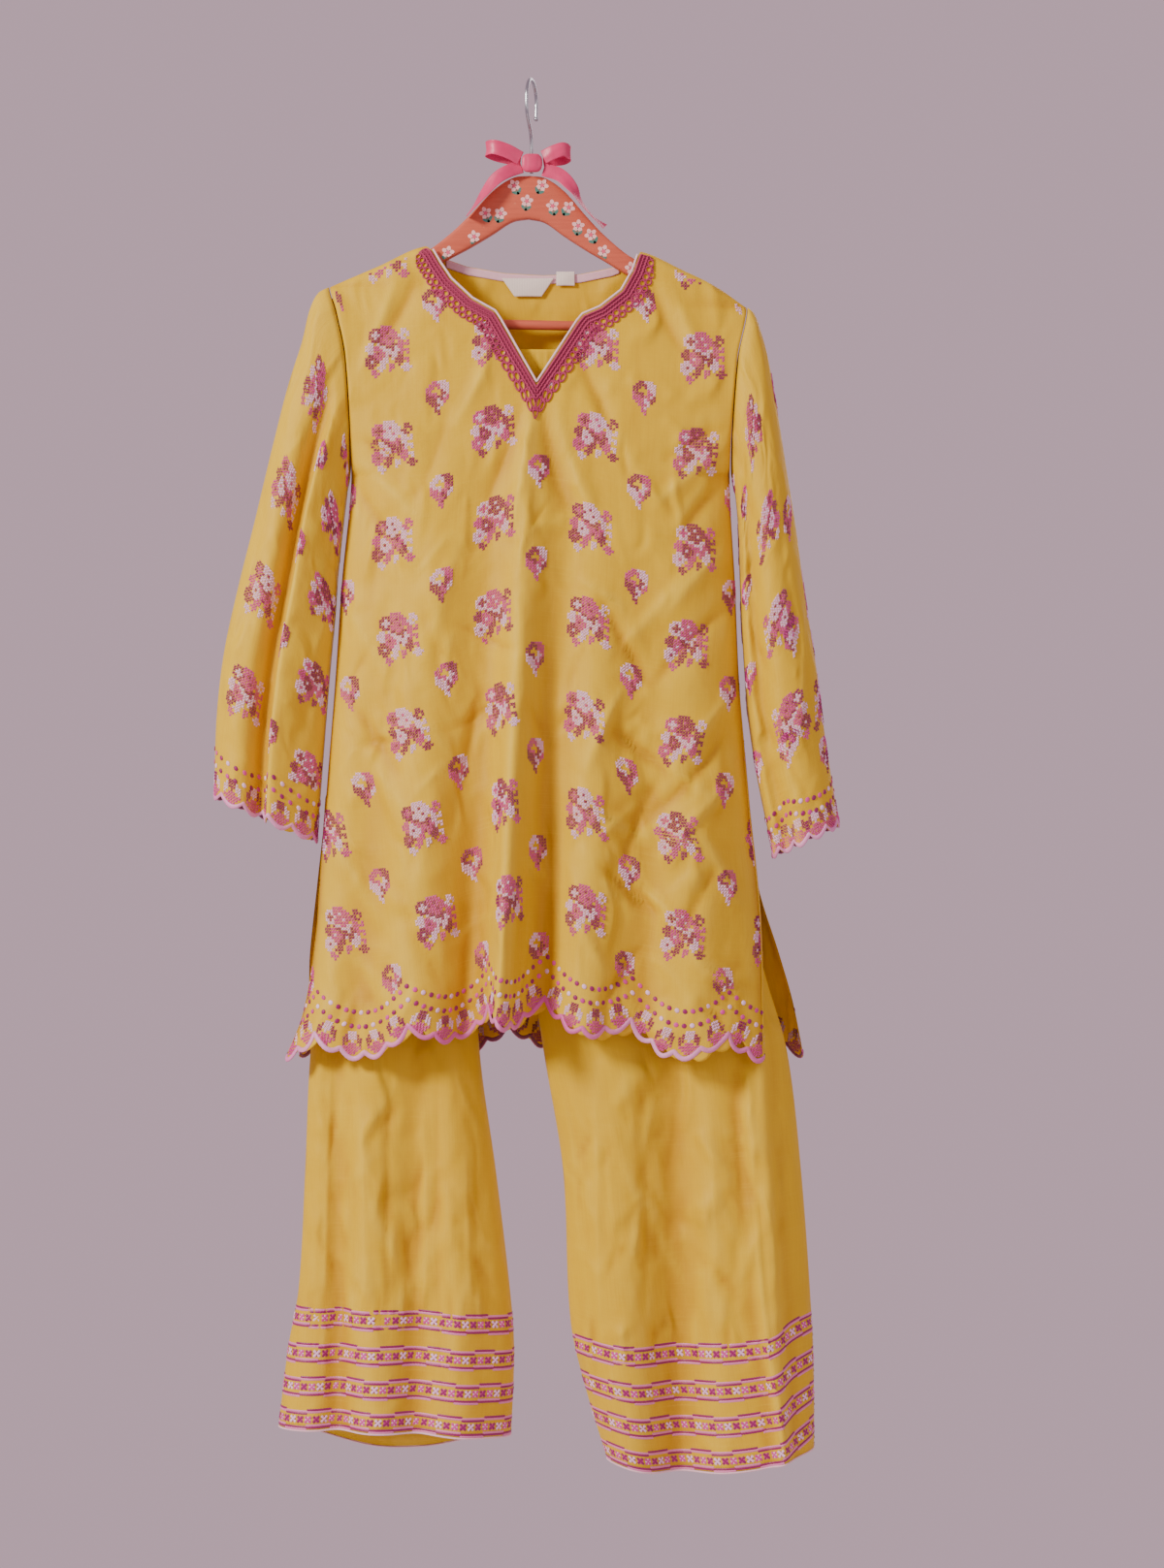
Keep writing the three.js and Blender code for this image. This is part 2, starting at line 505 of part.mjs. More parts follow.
// The front neck edge as points, and at each the direction away from the opening, in x and drop.
function neckLine(table) {
  return table.map((p, i) => {
    const a = table[Math.max(i - 1, 0)];
    const b = table[Math.min(i + 1, table.length - 1)];
    const unit = (from, to) => new THREE.Vector2(to.x - from.x, to.drop - from.drop).normalize();
    const before = i ? unit(a, p) : unit(p, b);
    const after = i < table.length - 1 ? unit(p, b) : before;
    const along = before.clone().add(after).normalize();
    const away = new THREE.Vector2(-along.y, along.x);
    const mitre = 1 / Math.max(away.dot(new THREE.Vector2(-before.y, before.x)), 0.6);
    return { x: p.x, drop: p.drop, away: away.multiplyScalar(mitre) };
  });
}

// A table of x and drop with a point added in the middle of each longer stretch.
const LONG_STRETCH = 15;
function doubled(table) {
  return table.flatMap((p, i) => {
    const q = table[i + 1];
    const long = q && Math.hypot(q.x - p.x, q.drop - p.drop) > LONG_STRETCH;
    return long ? [p, { x: (p.x + q.x) / 2, drop: (p.drop + q.drop) / 2 }] : [p];
  });
}

const LACE_WIDTH = 18;
const LACE_WALL = 1;
const PIPING = 1.8; // diameter
const STANDING = 2 * SEAM + LACE_WALL; // outer face of the lace above the cloth

// Lace band round the front neck, lying on the cloth.
function neckLace() {
  const line = neckLine(doubled(NECK));
  const across = [1.5, 1.5 + LACE_WIDTH / 2, 1.5 + LACE_WIDTH];
  const rows = line.map((p) => across.map((w) => {
    const drop = p.drop + p.away.y * w;
    const x = clamp(p.x + p.away.x * w, -106, 112);
    const floor = smooth(RIDGE, "x", x, "drop") + 5;
    return onBody(-1, x, Math.max(drop, floor), STANDING);
  }));
  return clothWall(rows, -LACE_WALL);
}

// A cord of few sides along a line of points.
function cordAlong(points, diameter, sides) {
  const path = new THREE.CatmullRomCurve3(points, false, "catmullrom", 0.1);
  const round = range(sides).slice(1).map((t) => {
    const a = 2 * Math.PI * t;
    return new THREE.Vector2(Math.cos(a), Math.sin(a)).multiplyScalar(diameter / 2);
  });
  const steps = 2 * (points.length - 1);
  return new THREE.ExtrudeGeometry(new THREE.Shape(round), { extrudePath: path, steps, bevelEnabled: false });
}

// Piping along the neck edge itself, just inside the opening.
function neckPiping() {
  const points = neckLine(NECK).slice(1, -1).map((p) => {
    const q = onBody(-1, p.x, p.drop, 0);
    q.x -= p.away.x * (PIPING / 2 + 4 * SEAM);
    q.z += p.away.y * (PIPING / 2 + 4 * SEAM);
    return q;
  });
  return cordAlong(points, PIPING, 6);
}

// Cotton tape that binds the back neck on its inner side, which shows from the front.
const TAPE_WIDTH = 8;
const TAPE_WALL = 0.8;
function backNeckTape() {
  const rows = range(10).map((t) => {
    const x = lerp(-80, 82, t);
    const drop = straight(BACK_NECK, "x", x, "drop");
    return [1, TAPE_WIDTH].map((w) => onBody(1, x, drop + w, -(CLOTH + 2 * SEAM)));
  });
  return clothWall(rows, TAPE_WALL);
}

// A woven label, a plain trapezoid, that hangs on the tape; no text.
function label(left, right, top, height, taper) {
  const rows = range(4).map((t) => {
    const x = lerp(left, right, t);
    const end = lerp(left + taper, right - taper, t);
    const lift = -(CLOTH + TAPE_WALL + 4 * SEAM);
    return [onBody(1, x, top, lift), onBody(1, end, top + height, lift)];
  });
  return clothWall(rows, 0.6);
}

add("neck_lace", neckLace(), PINK);
add("neck_piping", neckPiping(), PALE_PINK);
add("back_neck_tape", backNeckTape(), PALE_PINK);
add("neck_label", label(-28, 21, 182, 16, 12), CREAM);
add("size_tab", label(23, 40, 176, 12, 0), CREAM);

// ---------------------------------------------------------------- trousers

const LEG_COLUMNS = 10;
// Rows from the waistband down the centre seam.
const HIP_DROPS = [TROUSER_TOP + WAISTBAND + SEAM, 380, 470, 510, 540, CROTCH_DROP];
const LEG_ROWS = 7; // from the crotch to the hem

// A point of a trouser panel: share runs from the side seam to the inner edge. fall is 0 at the crotch and 1 at
// the hem; above the crotch a drop is given instead.
function trouserPoint(leg, hem, folds, face, share, fall, hipDrop = null) {
  const bottom = smooth(hem, "share", share, face < 0 ? "front" : "back");
  const drop = hipDrop ?? lerp(CROTCH_DROP, bottom, fall);
  const side = Math.sign(leg[0].outer);
  const gap = side * HALF_SEAM;
  const outer = smooth(leg, "drop", drop, "outer");
  const inner = smooth(drop > CROTCH_DROP ? leg : LEFT_LEG, "drop", drop, "inner") + gap;
  const x = lerp(outer, inner, share);
  const depth = smooth(leg, "drop", drop, face < 0 ? "front" : "back");
  const curve = clamp((drop - (CROTCH_DROP - 90)) / 90);
  const seam = share > 0.5 ? depth * Math.sqrt(1 - curve ** 2) : 0;
  const rounded = Math.sqrt(1 - Math.abs(2 * share - 1) ** 3);
  const fold = foldAt(folds, x, drop, 1260).out * (1 - Math.abs(2 * share - 1) ** 6);
  return at(x, face * (HALF_SEAM + lerp(seam, depth, rounded) + fold), drop);
}

function trouserPanel(leg, hem, folds, face) {
  const side = Math.sign(leg[0].outer);
  // Columns are closer together at the two edges, where the leg turns round.
  const shares = range(LEG_COLUMNS).map((t) => (1 - Math.cos(Math.PI * t)) / 2);
  const order = side < 0 ? shares : [...shares].reverse();
  const rows = [
    ...HIP_DROPS.map((drop) => order.map((share) => trouserPoint(leg, hem, folds, face, share, 0, drop))),
    ...range(LEG_ROWS).slice(1).map((fall) => {
      return order.map((share) => trouserPoint(leg, hem, folds, face, share, fall));
    }),
  ];
  const lock = (moved, p, r, c) => {
    moved.y = face < 0 ? Math.min(moved.y, -HALF_SEAM) : Math.max(moved.y, HALF_SEAM);
    const inner = side < 0 ? LEG_COLUMNS : 0;
    if (c === inner && -p.z < CROTCH_DROP + 20) moved.x = p.x;
    if (r === 0) moved.z = p.z;
  };
  return clothWall(rows, face < 0 ? CLOTH : -CLOTH, { lock });
}

add("trouser_left_front", trouserPanel(LEFT_LEG, LEFT_HEM, LEFT_LEG_FOLDS, -1), YELLOW);
add("trouser_left_back", trouserPanel(LEFT_LEG, LEFT_HEM, BACK_LEG_FOLDS, 1), YELLOW);
add("trouser_right_front", trouserPanel(RIGHT_LEG, RIGHT_HEM, RIGHT_LEG_FOLDS, -1), YELLOW);
add("trouser_right_back", trouserPanel(RIGHT_LEG, RIGHT_HEM, BACK_LEG_FOLDS, 1), YELLOW);

// Waistband, in a front and a back length, level with the top of the legs.
function waistband(face) {
  const shares = range(12);
  const rows = [TROUSER_TOP, TROUSER_TOP + WAISTBAND / 2, TROUSER_TOP + WAISTBAND].map((drop) =>
    shares.map((t) => {
      const x = lerp(LEFT_LEG[0].outer - 3, RIGHT_LEG[0].outer + 3, (1 - Math.cos(Math.PI * t)) / 2);
      const edge = 1 - Math.abs((x - 8) / (x < 8 ? 149 : 149.01));
      const depth = 11.5 * Math.sqrt(clamp(1 - (1 - clamp(edge)) ** 6));
      return at(x, face * (HALF_SEAM + depth), drop);
    }),
  );
  const lock = (moved, p) => {
    moved.y = face < 0 ? Math.min(moved.y, -HALF_SEAM) : Math.max(moved.y, HALF_SEAM);
    moved.z = p.z;
  };
  return clothWall(rows, face < 0 ? CLOTH : -CLOTH, { lock });
}
add("waistband_front", waistband(-1), YELLOW);
add("waistband_back", waistband(1), YELLOW);

// Narrow piping under each leg's hem edge.
const HEM_PIPING = 2;
function hemPiping(leg, hem, foldsFront, foldsBack) {
  const shares = range(9).map((t) => (1 - Math.cos(Math.PI * t)) / 2);
  const front = shares.map((s) => trouserPoint(leg, hem, foldsFront, -1, s, 1));
  const back = shares.map((s) => trouserPoint(leg, hem, foldsBack, 1, s, 1)).reverse();
  const round = [...front.slice(0, -1), ...back.slice(0, -1)];
  const middle = (leg[0].outer < 0 ? -1 : 1) * 125;
  const sides = 4;
  const rows = round.map((p, i) => {
    const next = round[(i + 1) % round.length];
    const before = round[(i + round.length - 1) % round.length];
    const along = next.clone().sub(before).normalize();
    const inward = new THREE.Vector3(middle - p.x, -p.y, 0).normalize();
    inward.addScaledVector(along, -inward.dot(along)).normalize();
    const down = along.clone().cross(inward);
    if (down.z > 0) down.negate();
    const centre = p.clone().addScaledVector(inward, CLOTH / 2);
    centre.addScaledVector(down, HEM_PIPING / 2 + 3 * SEAM);
    return range(sides).slice(1).map((t) => {
      const a = 2 * Math.PI * t;
      const point = centre.clone().addScaledVector(inward, (HEM_PIPING / 2) * Math.cos(a));
      return point.addScaledVector(down, (HEM_PIPING / 2) * Math.sin(a));
    });
  });
  return tube(rows);
}

// A closed tube, a torus, through rings of points.
function tube(rows) {
  const n = rows.length;
  const m = rows[0].length;
  const index = [];
  for (let i = 0; i < n; i++)
    for (let j = 0; j < m; j++) {
      const a = i * m + j;
      const b = i * m + ((j + 1) % m);
      const c = ((i + 1) % n) * m + ((j + 1) % m);
      const d = ((i + 1) % n) * m + j;
      index.push(a, b, c, a, c, d);
    }
  return facingOut(rows.flat().flatMap((p) => p.toArray()), index);
}
add("hem_piping_left", hemPiping(LEFT_LEG, LEFT_HEM, LEFT_LEG_FOLDS, BACK_LEG_FOLDS), PALE_PINK);
add("hem_piping_right", hemPiping(RIGHT_LEG, RIGHT_HEM, RIGHT_LEG_FOLDS, BACK_LEG_FOLDS), PALE_PINK);

// ---------------------------------------------------------------- hanger

const HANGER_THICK = 11;
const HANGER_TILT = THREE.MathUtils.degToRad(1.2);
const BAR_DROP = 226;
const BAR_DIAMETER = 9;

// Upper and lower edge of one arm, from the middle to its tip.
const ARM = [
  { x: 0, upper: 88, lower: 128 }, { x: 15, upper: 90, lower: 131 }, { x: 33, upper: 102, lower: 143 },
  { x: 54, upper: 125, lower: 156 }, { x: 72, upper: 143, lower: 166 }, { x: 96, upper: 161.5, lower: 180 },
  { x: 140, upper: 181, lower: 202 }, { x: 168, upper: 196, lower: 219 }, { x: 181, upper: 206, lower: 234 },
  { x: 188, upper: 214, lower: 236 },
];
const ARM_NOSE = { x: 193, drop: 226 };

const hanger = new THREE.Group();
hanger.rotation.y = HANGER_TILT;
suit.add(hanger);

function hangerBody() {
  const steps = range(16).map((t) => t * ARM[ARM.length - 1].x);
  const upper = steps.map((x) => [x, smooth(ARM, "x", x, "upper")]);
  const lower = steps.map((x) => [x, smooth(ARM, "x", x, "lower")]).reverse();
  const right = [...upper, [ARM_NOSE.x, ARM_NOSE.drop], ...lower];
  const left = right.slice(1, -1).reverse().map(([x, drop]) => [-x, drop]);
  const outline = new THREE.Shape([...right, ...left].map(([x, drop]) => new THREE.Vector2(x, -drop)));
  const bevel = 2;
  const geometry = new THREE.ExtrudeGeometry(outline, {
    depth: HANGER_THICK - 2 * bevel,
    bevelEnabled: true,
    bevelThickness: bevel,
    bevelSize: bevel,
    bevelOffset: -bevel,
    bevelSegments: 2,
  });
  return geometry.translate(0, 0, -(HANGER_THICK - 2 * bevel) / 2).rotateX(Math.PI / 2);
}
add("hanger_body", hangerBody(), ORANGE_WOOD, hanger);

// The bar that the trousers hang on, between the two arm tips.
const BAR_LENGTH = 2 * 169;
const rod = new THREE.CylinderGeometry(BAR_DIAMETER / 2, BAR_DIAMETER / 2, BAR_LENGTH, 12);
const bar = add("hanger_bar", rod, ORANGE_WOOD, hanger);
bar.rotation.z = Math.PI / 2;
bar.position.z = -BAR_DROP;

// Loops of narrow tape inside the waist that hold the trousers on the bar.
const LOOP_X = 112;
function hangingLoop() {
  const r = BAR_DIAMETER / 2 + 2.2;
  const over = range(6).map((t) => [-r * Math.cos(Math.PI * t), BAR_DROP - r * Math.sin(Math.PI * t)]);
  const foot = TROUSER_TOP + 14;
  const path = [[-r, foot], ...over, [r, foot]];
  const rows = path.map(([y, drop]) => [at(-4, y, drop), at(4, y, drop)]);
  return clothWall(rows, 0.8);
}
for (const [name, x] of [["hanging_loop_left", -LOOP_X], ["hanging_loop_right", LOOP_X]]) {
  const loop = add(name, hangingLoop(), CREAM);
  loop.position.set(x + 8, 0, -x * Math.sin(HANGER_TILT));
}

// Hook: steel wire from the top of the body, forward, over the rail and down behind it.
const WIRE = 3.2;
const HOOK_RADIUS = 19;
const HOOK_TURN = THREE.MathUtils.degToRad(-12);
function hook() {
  const arc = range(10).map((t) => {
    const a = Math.PI * (1.05 - 1.12 * t);
    const r = HOOK_RADIUS + WIRE / 2;
    return new THREE.Vector3(0, r * Math.cos(a), -HOOK_RADIUS + r * Math.sin(a));
  });
  const feet = [[0, -85.5], [0, -66], [-3, -50], [-15, -37], [-20, -29]];
  const shank = feet.map(([y, z]) => new THREE.Vector3(0, y, z));
  return cordAlong([...shank, ...arc.slice(1), new THREE.Vector3(0, 19.5, -31)], WIRE, 8);
}
add("hook", hook(), STEEL).rotation.z = HOOK_TURN;

// ---------------------------------------------------------------- ribbon bow at the hook's foot

const RIBBON = 13;

// A length of ribbon along a path of [x, y, drop, turn]: turn swings its width from upright to edge-on.
function ribbon(path, width = RIBBON) {
  const line = new THREE.CatmullRomCurve3(path.map(([x, y, drop]) => at(x, y, drop)));
  const steps = 2 * (path.length - 1);
  const rows = range(steps).map((t) => {
    const p = line.getPoint(t);
    const along = line.getTangent(t);
    const k = t * (path.length - 1);
    const turn = lerp(path[Math.floor(k)][3], path[Math.min(Math.ceil(k), path.length - 1)][3], k % 1);
    const upright = new THREE.Vector3(0, 0, 1).addScaledVector(along, -along.z).normalize();
    const across = upright.applyAxisAngle(along, turn).multiplyScalar(width / 2);
    return [p.clone().sub(across), p, p.clone().add(across)];
  });
  return clothWall(rows, 0.7);
}

const knot = add("bow_knot", new THREE.SphereGeometry(1, 10, 8), SATIN);
knot.scale.set(9.5, 3.6, 8.5);
knot.position.set(0.6, -12.5, -78);
const LOOP_LEFT = [
  [-9.5, -8, 73, 0], [-22, -5, 71, 0], [-34, -4, 68, 0], [-42, -10, 65, 0], [-35, -17, 64, 0],
  [-22, -17.5, 68, 0], [-9.8, -14, 74, 0],
];
const LOOP_RIGHT = [
  [10.8, -8, 74, 0], [20, -5, 73, 0], [30, -5, 72, 0], [36, -10, 69, 0], [30, -16, 66, 0],
  [20, -16.5, 69, 0], [11, -14, 73, 0],
];
const TAIL_LEFT = [
  [-9, -11, 81, 0], [-22, -13, 86, 0], [-33, -14, 93, 0.3], [-44, -14, 106, 0.8],
  [-53, -13.5, 118, 1.2], [-60, -13, 127, 1.35],
];
const TAIL_RIGHT = [
  [11, -11, 84, 0], [26, -13, 89, 0], [38, -14, 101, -0.6], [46, -13.5, 115, -1.2],
  [57, -13.5, 128, -1.35], [68, -13, 137, -1],
];
const TAIL_WIDTH = 12;
add("bow_loop_left", ribbon(LOOP_LEFT), SATIN);
add("bow_loop_right", ribbon(LOOP_RIGHT), SATIN);
add("ribbon_tail_left", ribbon(TAIL_LEFT, TAIL_WIDTH), SATIN);
add("ribbon_tail_right", ribbon(TAIL_RIGHT, TAIL_WIDTH), SATIN);

export default suit;
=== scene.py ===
"""Looks for a salwar kameez suit on a wooden hanger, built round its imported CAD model.

Shapes are worked out in millimetres, with z as minus the drop below the hook's bearing point, and are
written to the meshes in metres.
"""

import bpy
import numpy as np
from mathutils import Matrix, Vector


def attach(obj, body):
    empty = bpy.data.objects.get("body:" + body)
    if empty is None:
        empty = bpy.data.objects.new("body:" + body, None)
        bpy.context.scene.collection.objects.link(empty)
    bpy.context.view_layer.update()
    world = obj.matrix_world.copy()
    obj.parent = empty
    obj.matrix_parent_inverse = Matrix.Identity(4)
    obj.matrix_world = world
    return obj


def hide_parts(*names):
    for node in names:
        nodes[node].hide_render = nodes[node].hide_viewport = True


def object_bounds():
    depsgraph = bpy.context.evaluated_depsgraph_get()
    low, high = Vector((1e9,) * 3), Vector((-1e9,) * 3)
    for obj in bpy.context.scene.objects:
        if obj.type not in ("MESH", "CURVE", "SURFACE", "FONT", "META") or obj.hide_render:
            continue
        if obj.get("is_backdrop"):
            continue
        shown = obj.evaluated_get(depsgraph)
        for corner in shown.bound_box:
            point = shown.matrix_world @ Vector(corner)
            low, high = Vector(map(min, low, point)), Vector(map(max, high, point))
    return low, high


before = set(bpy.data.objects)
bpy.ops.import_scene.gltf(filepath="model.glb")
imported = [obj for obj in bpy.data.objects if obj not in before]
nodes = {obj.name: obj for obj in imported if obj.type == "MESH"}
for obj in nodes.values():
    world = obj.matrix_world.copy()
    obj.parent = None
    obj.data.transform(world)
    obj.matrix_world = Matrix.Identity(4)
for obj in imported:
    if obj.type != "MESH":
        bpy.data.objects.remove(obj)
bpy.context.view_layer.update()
scene = bpy.context.scene
MM = 0.001

# ------------------------------------------------------------------ camera, light and floor
# The camera stands level with the middle of the suit, 3 m in front of it. One large soft light stands high in
# front on the left, a weaker one on the right, and a pale floor lies under the suit, below the camera's view.

CAMERA_AT = (0.0468, -3.0, -0.652)
VIEW_HEIGHT = 1.4553  # what the camera sees at the suit, in metres
SENSOR = 36.0

camera = bpy.data.objects.new("camera", bpy.data.cameras.new("camera"))
camera.data.sensor_width = SENSOR
camera.data.lens = SENSOR * -CAMERA_AT[1] / VIEW_HEIGHT
camera.location = CAMERA_AT
camera.rotation_euler = (np.pi / 2, 0, 0)
scene.collection.objects.link(camera)
scene.camera = camera


def linear(red, green, blue):
    """The linear colour of three screen values from 0 to 255, by the sRGB curve."""
    share = np.array([red, green, blue]) / 255
    curve = np.where(share > 0.04045, ((share + 0.055) / 1.055) ** 2.4, share / 12.92)
    return (*curve.tolist(), 1.0)


def softbox(name, place, aim, size, power, tint):
    """A square area light at a place, turned to face its aim."""
    lamp = bpy.data.objects.new(name, bpy.data.lights.new(name, "AREA"))
    lamp.data.shape = "SQUARE"
    lamp.data.size = size
    lamp.data.energy = power
    lamp.data.color = linear(*tint)[:3]
    lamp.location = place
    toward = Vector(aim) - Vector(place)
    lamp.rotation_euler = toward.to_track_quat("-Z", "Y").to_euler()
    scene.collection.objects.link(lamp)


SUIT_MIDDLE = (0, 0, -0.6)
softbox("key_light", (-2.6, -2.1, 1.0), SUIT_MIDDLE, 0.7, 155, (255, 250, 240))
softbox("fill_light", (2.6, -2.6, 0.2), SUIT_MIDDLE, 2.4, 20, (255, 246, 244))
softbox("back_light", (1.2, 2.8, 0.9), SUIT_MIDDLE, 2.2, 30, (255, 246, 244))

world = bpy.data.worlds.new("studio")
world.use_nodes = True
scene.world = world
studio = world.node_tree.nodes["Background"]
studio.inputs["Color"].default_value = linear(236, 200, 216)
studio.inputs["Strength"].default_value = 0.68


class Wire:
    """A shader node's output that takes part in sums: each sum adds one Math node."""

    def __init__(self, finish, socket):
        self.finish = finish
        self.socket = socket

    def sum(self, operation, first, second):
        return self.finish.node("ShaderNodeMath", {"operation": operation}, {0: first, 1: second})

    def __add__(self, other):
        return self.sum("ADD", self, other)

    def __mul__(self, other):
        return self.sum("MULTIPLY", self, other)

    def __sub__(self, other):
        return self.sum("SUBTRACT", self, other)

    def __rsub__(self, other):
        return self.sum("SUBTRACT", other, self)

    __radd__ = __add__
    __rmul__ = __mul__


class Finish:
    """A material being made, from nodes that are added one by one."""

    def __init__(self, name):
        self.material = bpy.data.materials.new(name)
        self.material.use_nodes = True
        self.tree = self.material.node_tree
        self.tree.nodes.clear()

    def node(self, kind, settings=None, sockets=None, output=0):
        """A node of a kind, with its settings set first, then its sockets; returns one of its outputs."""
        made = self.tree.nodes.new(kind)
        for key, value in (settings or {}).items():
            if key == "stops":
                while len(made.color_ramp.elements) < len(value):
                    made.color_ramp.elements.new(0.5)
                for element, (place, colour) in zip(made.color_ramp.elements, value):
                    element.position = place
                    element.color = colour
            else:
                setattr(made, key, value)
        for key, value in (sockets or {}).items():
            if isinstance(value, Wire):
                self.tree.links.new(value.socket, made.inputs[key])
            else:
                made.inputs[key].default_value = value
        return Wire(self, made.outputs[output]) if len(made.outputs) else None

    def mix(self, factor, first, second):
        """The first colour, turned into the second by the factor."""
        return self.node("ShaderNodeMix", {"data_type": "RGBA"}, {0: factor, 6: first, 7: second}, 2)

    def noise(self, vector, scale, detail=2.0, roughness=0.5):
        """Cloudy noise on a vector."""
        sockets = {"Vector": vector, "Scale": scale, "Detail": detail, "Roughness": roughness}
        return self.node("ShaderNodeTexNoise", None, sockets)

    def stretched(self, vector, scale):
        """A vector with each of its parts scaled by its own number."""
        return self.node("ShaderNodeVectorMath", {"operation": "MULTIPLY"}, {0: vector, 1: scale})

    def levels(self, value, low, high, bottom=0.0, top=1.0):
        """A value taken from low..high to bottom..top and kept there."""
        sockets = {"Value": value, "From Min": low, "From Max": high, "To Min": bottom, "To Max": top}
        return self.node("ShaderNodeMapRange", None, sockets)

    def bump(self, height, strength, distance):
        """A bumped normal from a height of 0 to 1 that stands for a distance in metres."""
        sockets = {"Height": height, "Strength": strength, "Distance": distance}
        return self.node("ShaderNodeBump", None, sockets)

    def surface(self, sockets, through=None):
        """The Principled surface; through is how much light of a colour passes the cloth."""
        shader = self.node("ShaderNodeBsdfPrincipled", None, sockets)
        if through:
            share, colour = through
            glow = self.node("ShaderNodeBsdfTranslucent", None, {"Color": colour})
            shader = self.node("ShaderNodeMixShader", None, {0: share, 1: shader, 2: glow})
        self.node("ShaderNodeOutputMaterial", None, {"Surface": shader})
        return self.material


def skin(name, points, wrap_rows=False, wrap_columns=False, caps=False, uv=None, outward=None, wall=0.0):
    """One mesh from grids of points, an array of (copies, rows, columns, 3): a quad between each four
    neighbours. Rows or columns may close on themselves, and caps shut a tube's ends. Faces are turned to
    the outward direction, or for a closed shape so that its volume is positive. A wall is laid on the inner
    side."""
    grids = np.asarray(points, float)
    grids = grids.reshape((-1,) + grids.shape[-3:])
    copies, rows, cols = grids.shape[:3]
    index = np.arange(rows * cols).reshape(rows, cols)
    caps_at = [index[0][::-1], index[-1]] if caps else []
    if wrap_rows:
        index = np.vstack([index, index[:1]])
    if wrap_columns:
        index = np.hstack([index, index[:, :1]])
    quad = np.stack([index[:-1, :-1], index[:-1, 1:], index[1:, 1:], index[1:, :-1]], -1).reshape(-1, 4)
    first = grids[0].reshape(-1, 3)
    corner, right, far, left = (first[quad[:, k]] for k in range(4))
    facing = np.cross(far - corner, left - right)
    middle = (corner + far) / 2
    hint = middle if outward is None else np.asarray(outward, float)
    if outward is None:
        hint = middle - first.mean(0)
    turned = float((facing * hint).sum()) < 0
    if turned:
        quad = quad[:, ::-1]
    starts = np.arange(copies) * rows * cols
    faces = (quad[None] + starts[:, None, None]).reshape(-1, 4).tolist()
    for start in starts.tolist():
        for cap in caps_at:
            faces.append((cap[::-1] if turned else cap).tolist())
            faces[-1] = [start + corner_index for corner_index in faces[-1]]
    mesh = bpy.data.meshes.new(name)
    mesh.from_pydata((grids.reshape(-1, 3) * MM).tolist(), [], faces)
    if uv is not None:
        cell = np.arange(index.size).reshape(index.shape)
        loop = np.stack([cell[:-1, :-1], cell[:-1, 1:], cell[1:, 1:], cell[1:, :-1]], -1).reshape(-1, 4)
        if turned:
            loop = loop[:, ::-1]
        places = np.asarray(uv, float).reshape(-1, 2)[loop.ravel()] * MM
        layer = mesh.uv_layers.new(name="cloth")
        values = np.zeros((len(mesh.loops), 2))
        values[: len(places) * copies] = np.tile(places, (copies, 1))
        layer.data.foreach_set("uv", values.ravel())
    mesh.polygons.foreach_set("use_smooth", np.ones(len(mesh.polygons), bool))
    mesh.update()
    piece = bpy.data.objects.new(name, mesh)
    scene.collection.objects.link(piece)
    if wall:
        shell = piece.modifiers.new("wall", "SOLIDIFY")
        shell.thickness = wall * MM
        shell.offset = -1
    return piece


def dress(piece, material, stands_for=()):
    """Gives a piece its material and slot, makes it ride on the one body, and hides what it stands for."""
    piece.data.materials.append(material)
    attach(piece, "root")
    if stands_for:
        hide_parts(*stands_for)
    return piece


FLOOR_DROP = 1720
FLOOR_RADIUS = 1400
turn = np.linspace(0, 2 * np.pi, 64, endpoint=False)
reach = np.array([1.0, 400.0, FLOOR_RADIUS])[:, None]
flat_disc = np.stack([reach * np.cos(turn), reach * np.sin(turn), np.full((3, 64), -FLOOR_DROP)], -1)
floor = skin("floor", flat_disc, wrap_columns=True, outward=(0, 0, 1))
plaster = Finish("floor_paint")
floor.data.materials.append(plaster.surface({"Base Color": linear(226, 214, 218), "Roughness": 0.9}))
floor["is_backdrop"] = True

# ------------------------------------------------------------------ kurta front
# The front of the tunic: fine cotton silk, cut with a round neck that ends in a V slit, hung from the
# shoulders. It falls in a cone below the slit and in soft folds beside it, and its hem is cut in scallops on
# big waves.

HEM_DROP = 905
UNDERARM_DROP = 365
SCALLOPS = 24
SCALLOPS_PER_WAVE = 4
WAVE_DEPTH = 20
SCALLOP_DEPTH = 7
HALF_SEAM = 0.15
CLOTH_WALL = 0.7
GRAIN_LIFT = {-1: 34, 1: 6}  # front and back
ARMHOLE_DEPTH = 18


def sizes(names, rows):
    """A table of sizes as one array for each named column."""
    return dict(zip(names.split(), np.array(rows, float).T))


RIDGE = sizes("x drop", [
    (-220, 207), (-187, 191), (-143, 172), (-98, 153), (0, 150), (101, 158), (140, 175), (172, 191),
    (199, 210),
    (220, 224),
])
NECK = sizes("x drop", [
    (-98, 153), (-92, 158), (-85, 170), (-75, 185), (-55, 204), (-34, 216), (-30, 222), (5, 284), (43, 225),
    (48, 219), (64, 212), (84, 196), (94, 178), (99.5, 162), (101, 158),
])
FRONT_SIDES = sizes("drop left right off_left off_right", [
    (150, -187, 199, 0, 0), (191, -187, 199, 0, 0), (215, -180, 199, 0, 0), (260, -171, 190, 0, 0),
    (365, -167, 184, 0, 0), (465, -176, 189, 0, 0), (555, -182, 193, 0, 0), (670, -191, 202, 0, 0),
    (745, -196, 210, 0, 0), (790, -199, 213, 3, 7), (865, -211, 214, 9, 25), (915, -231, 214, 14, 34),
])
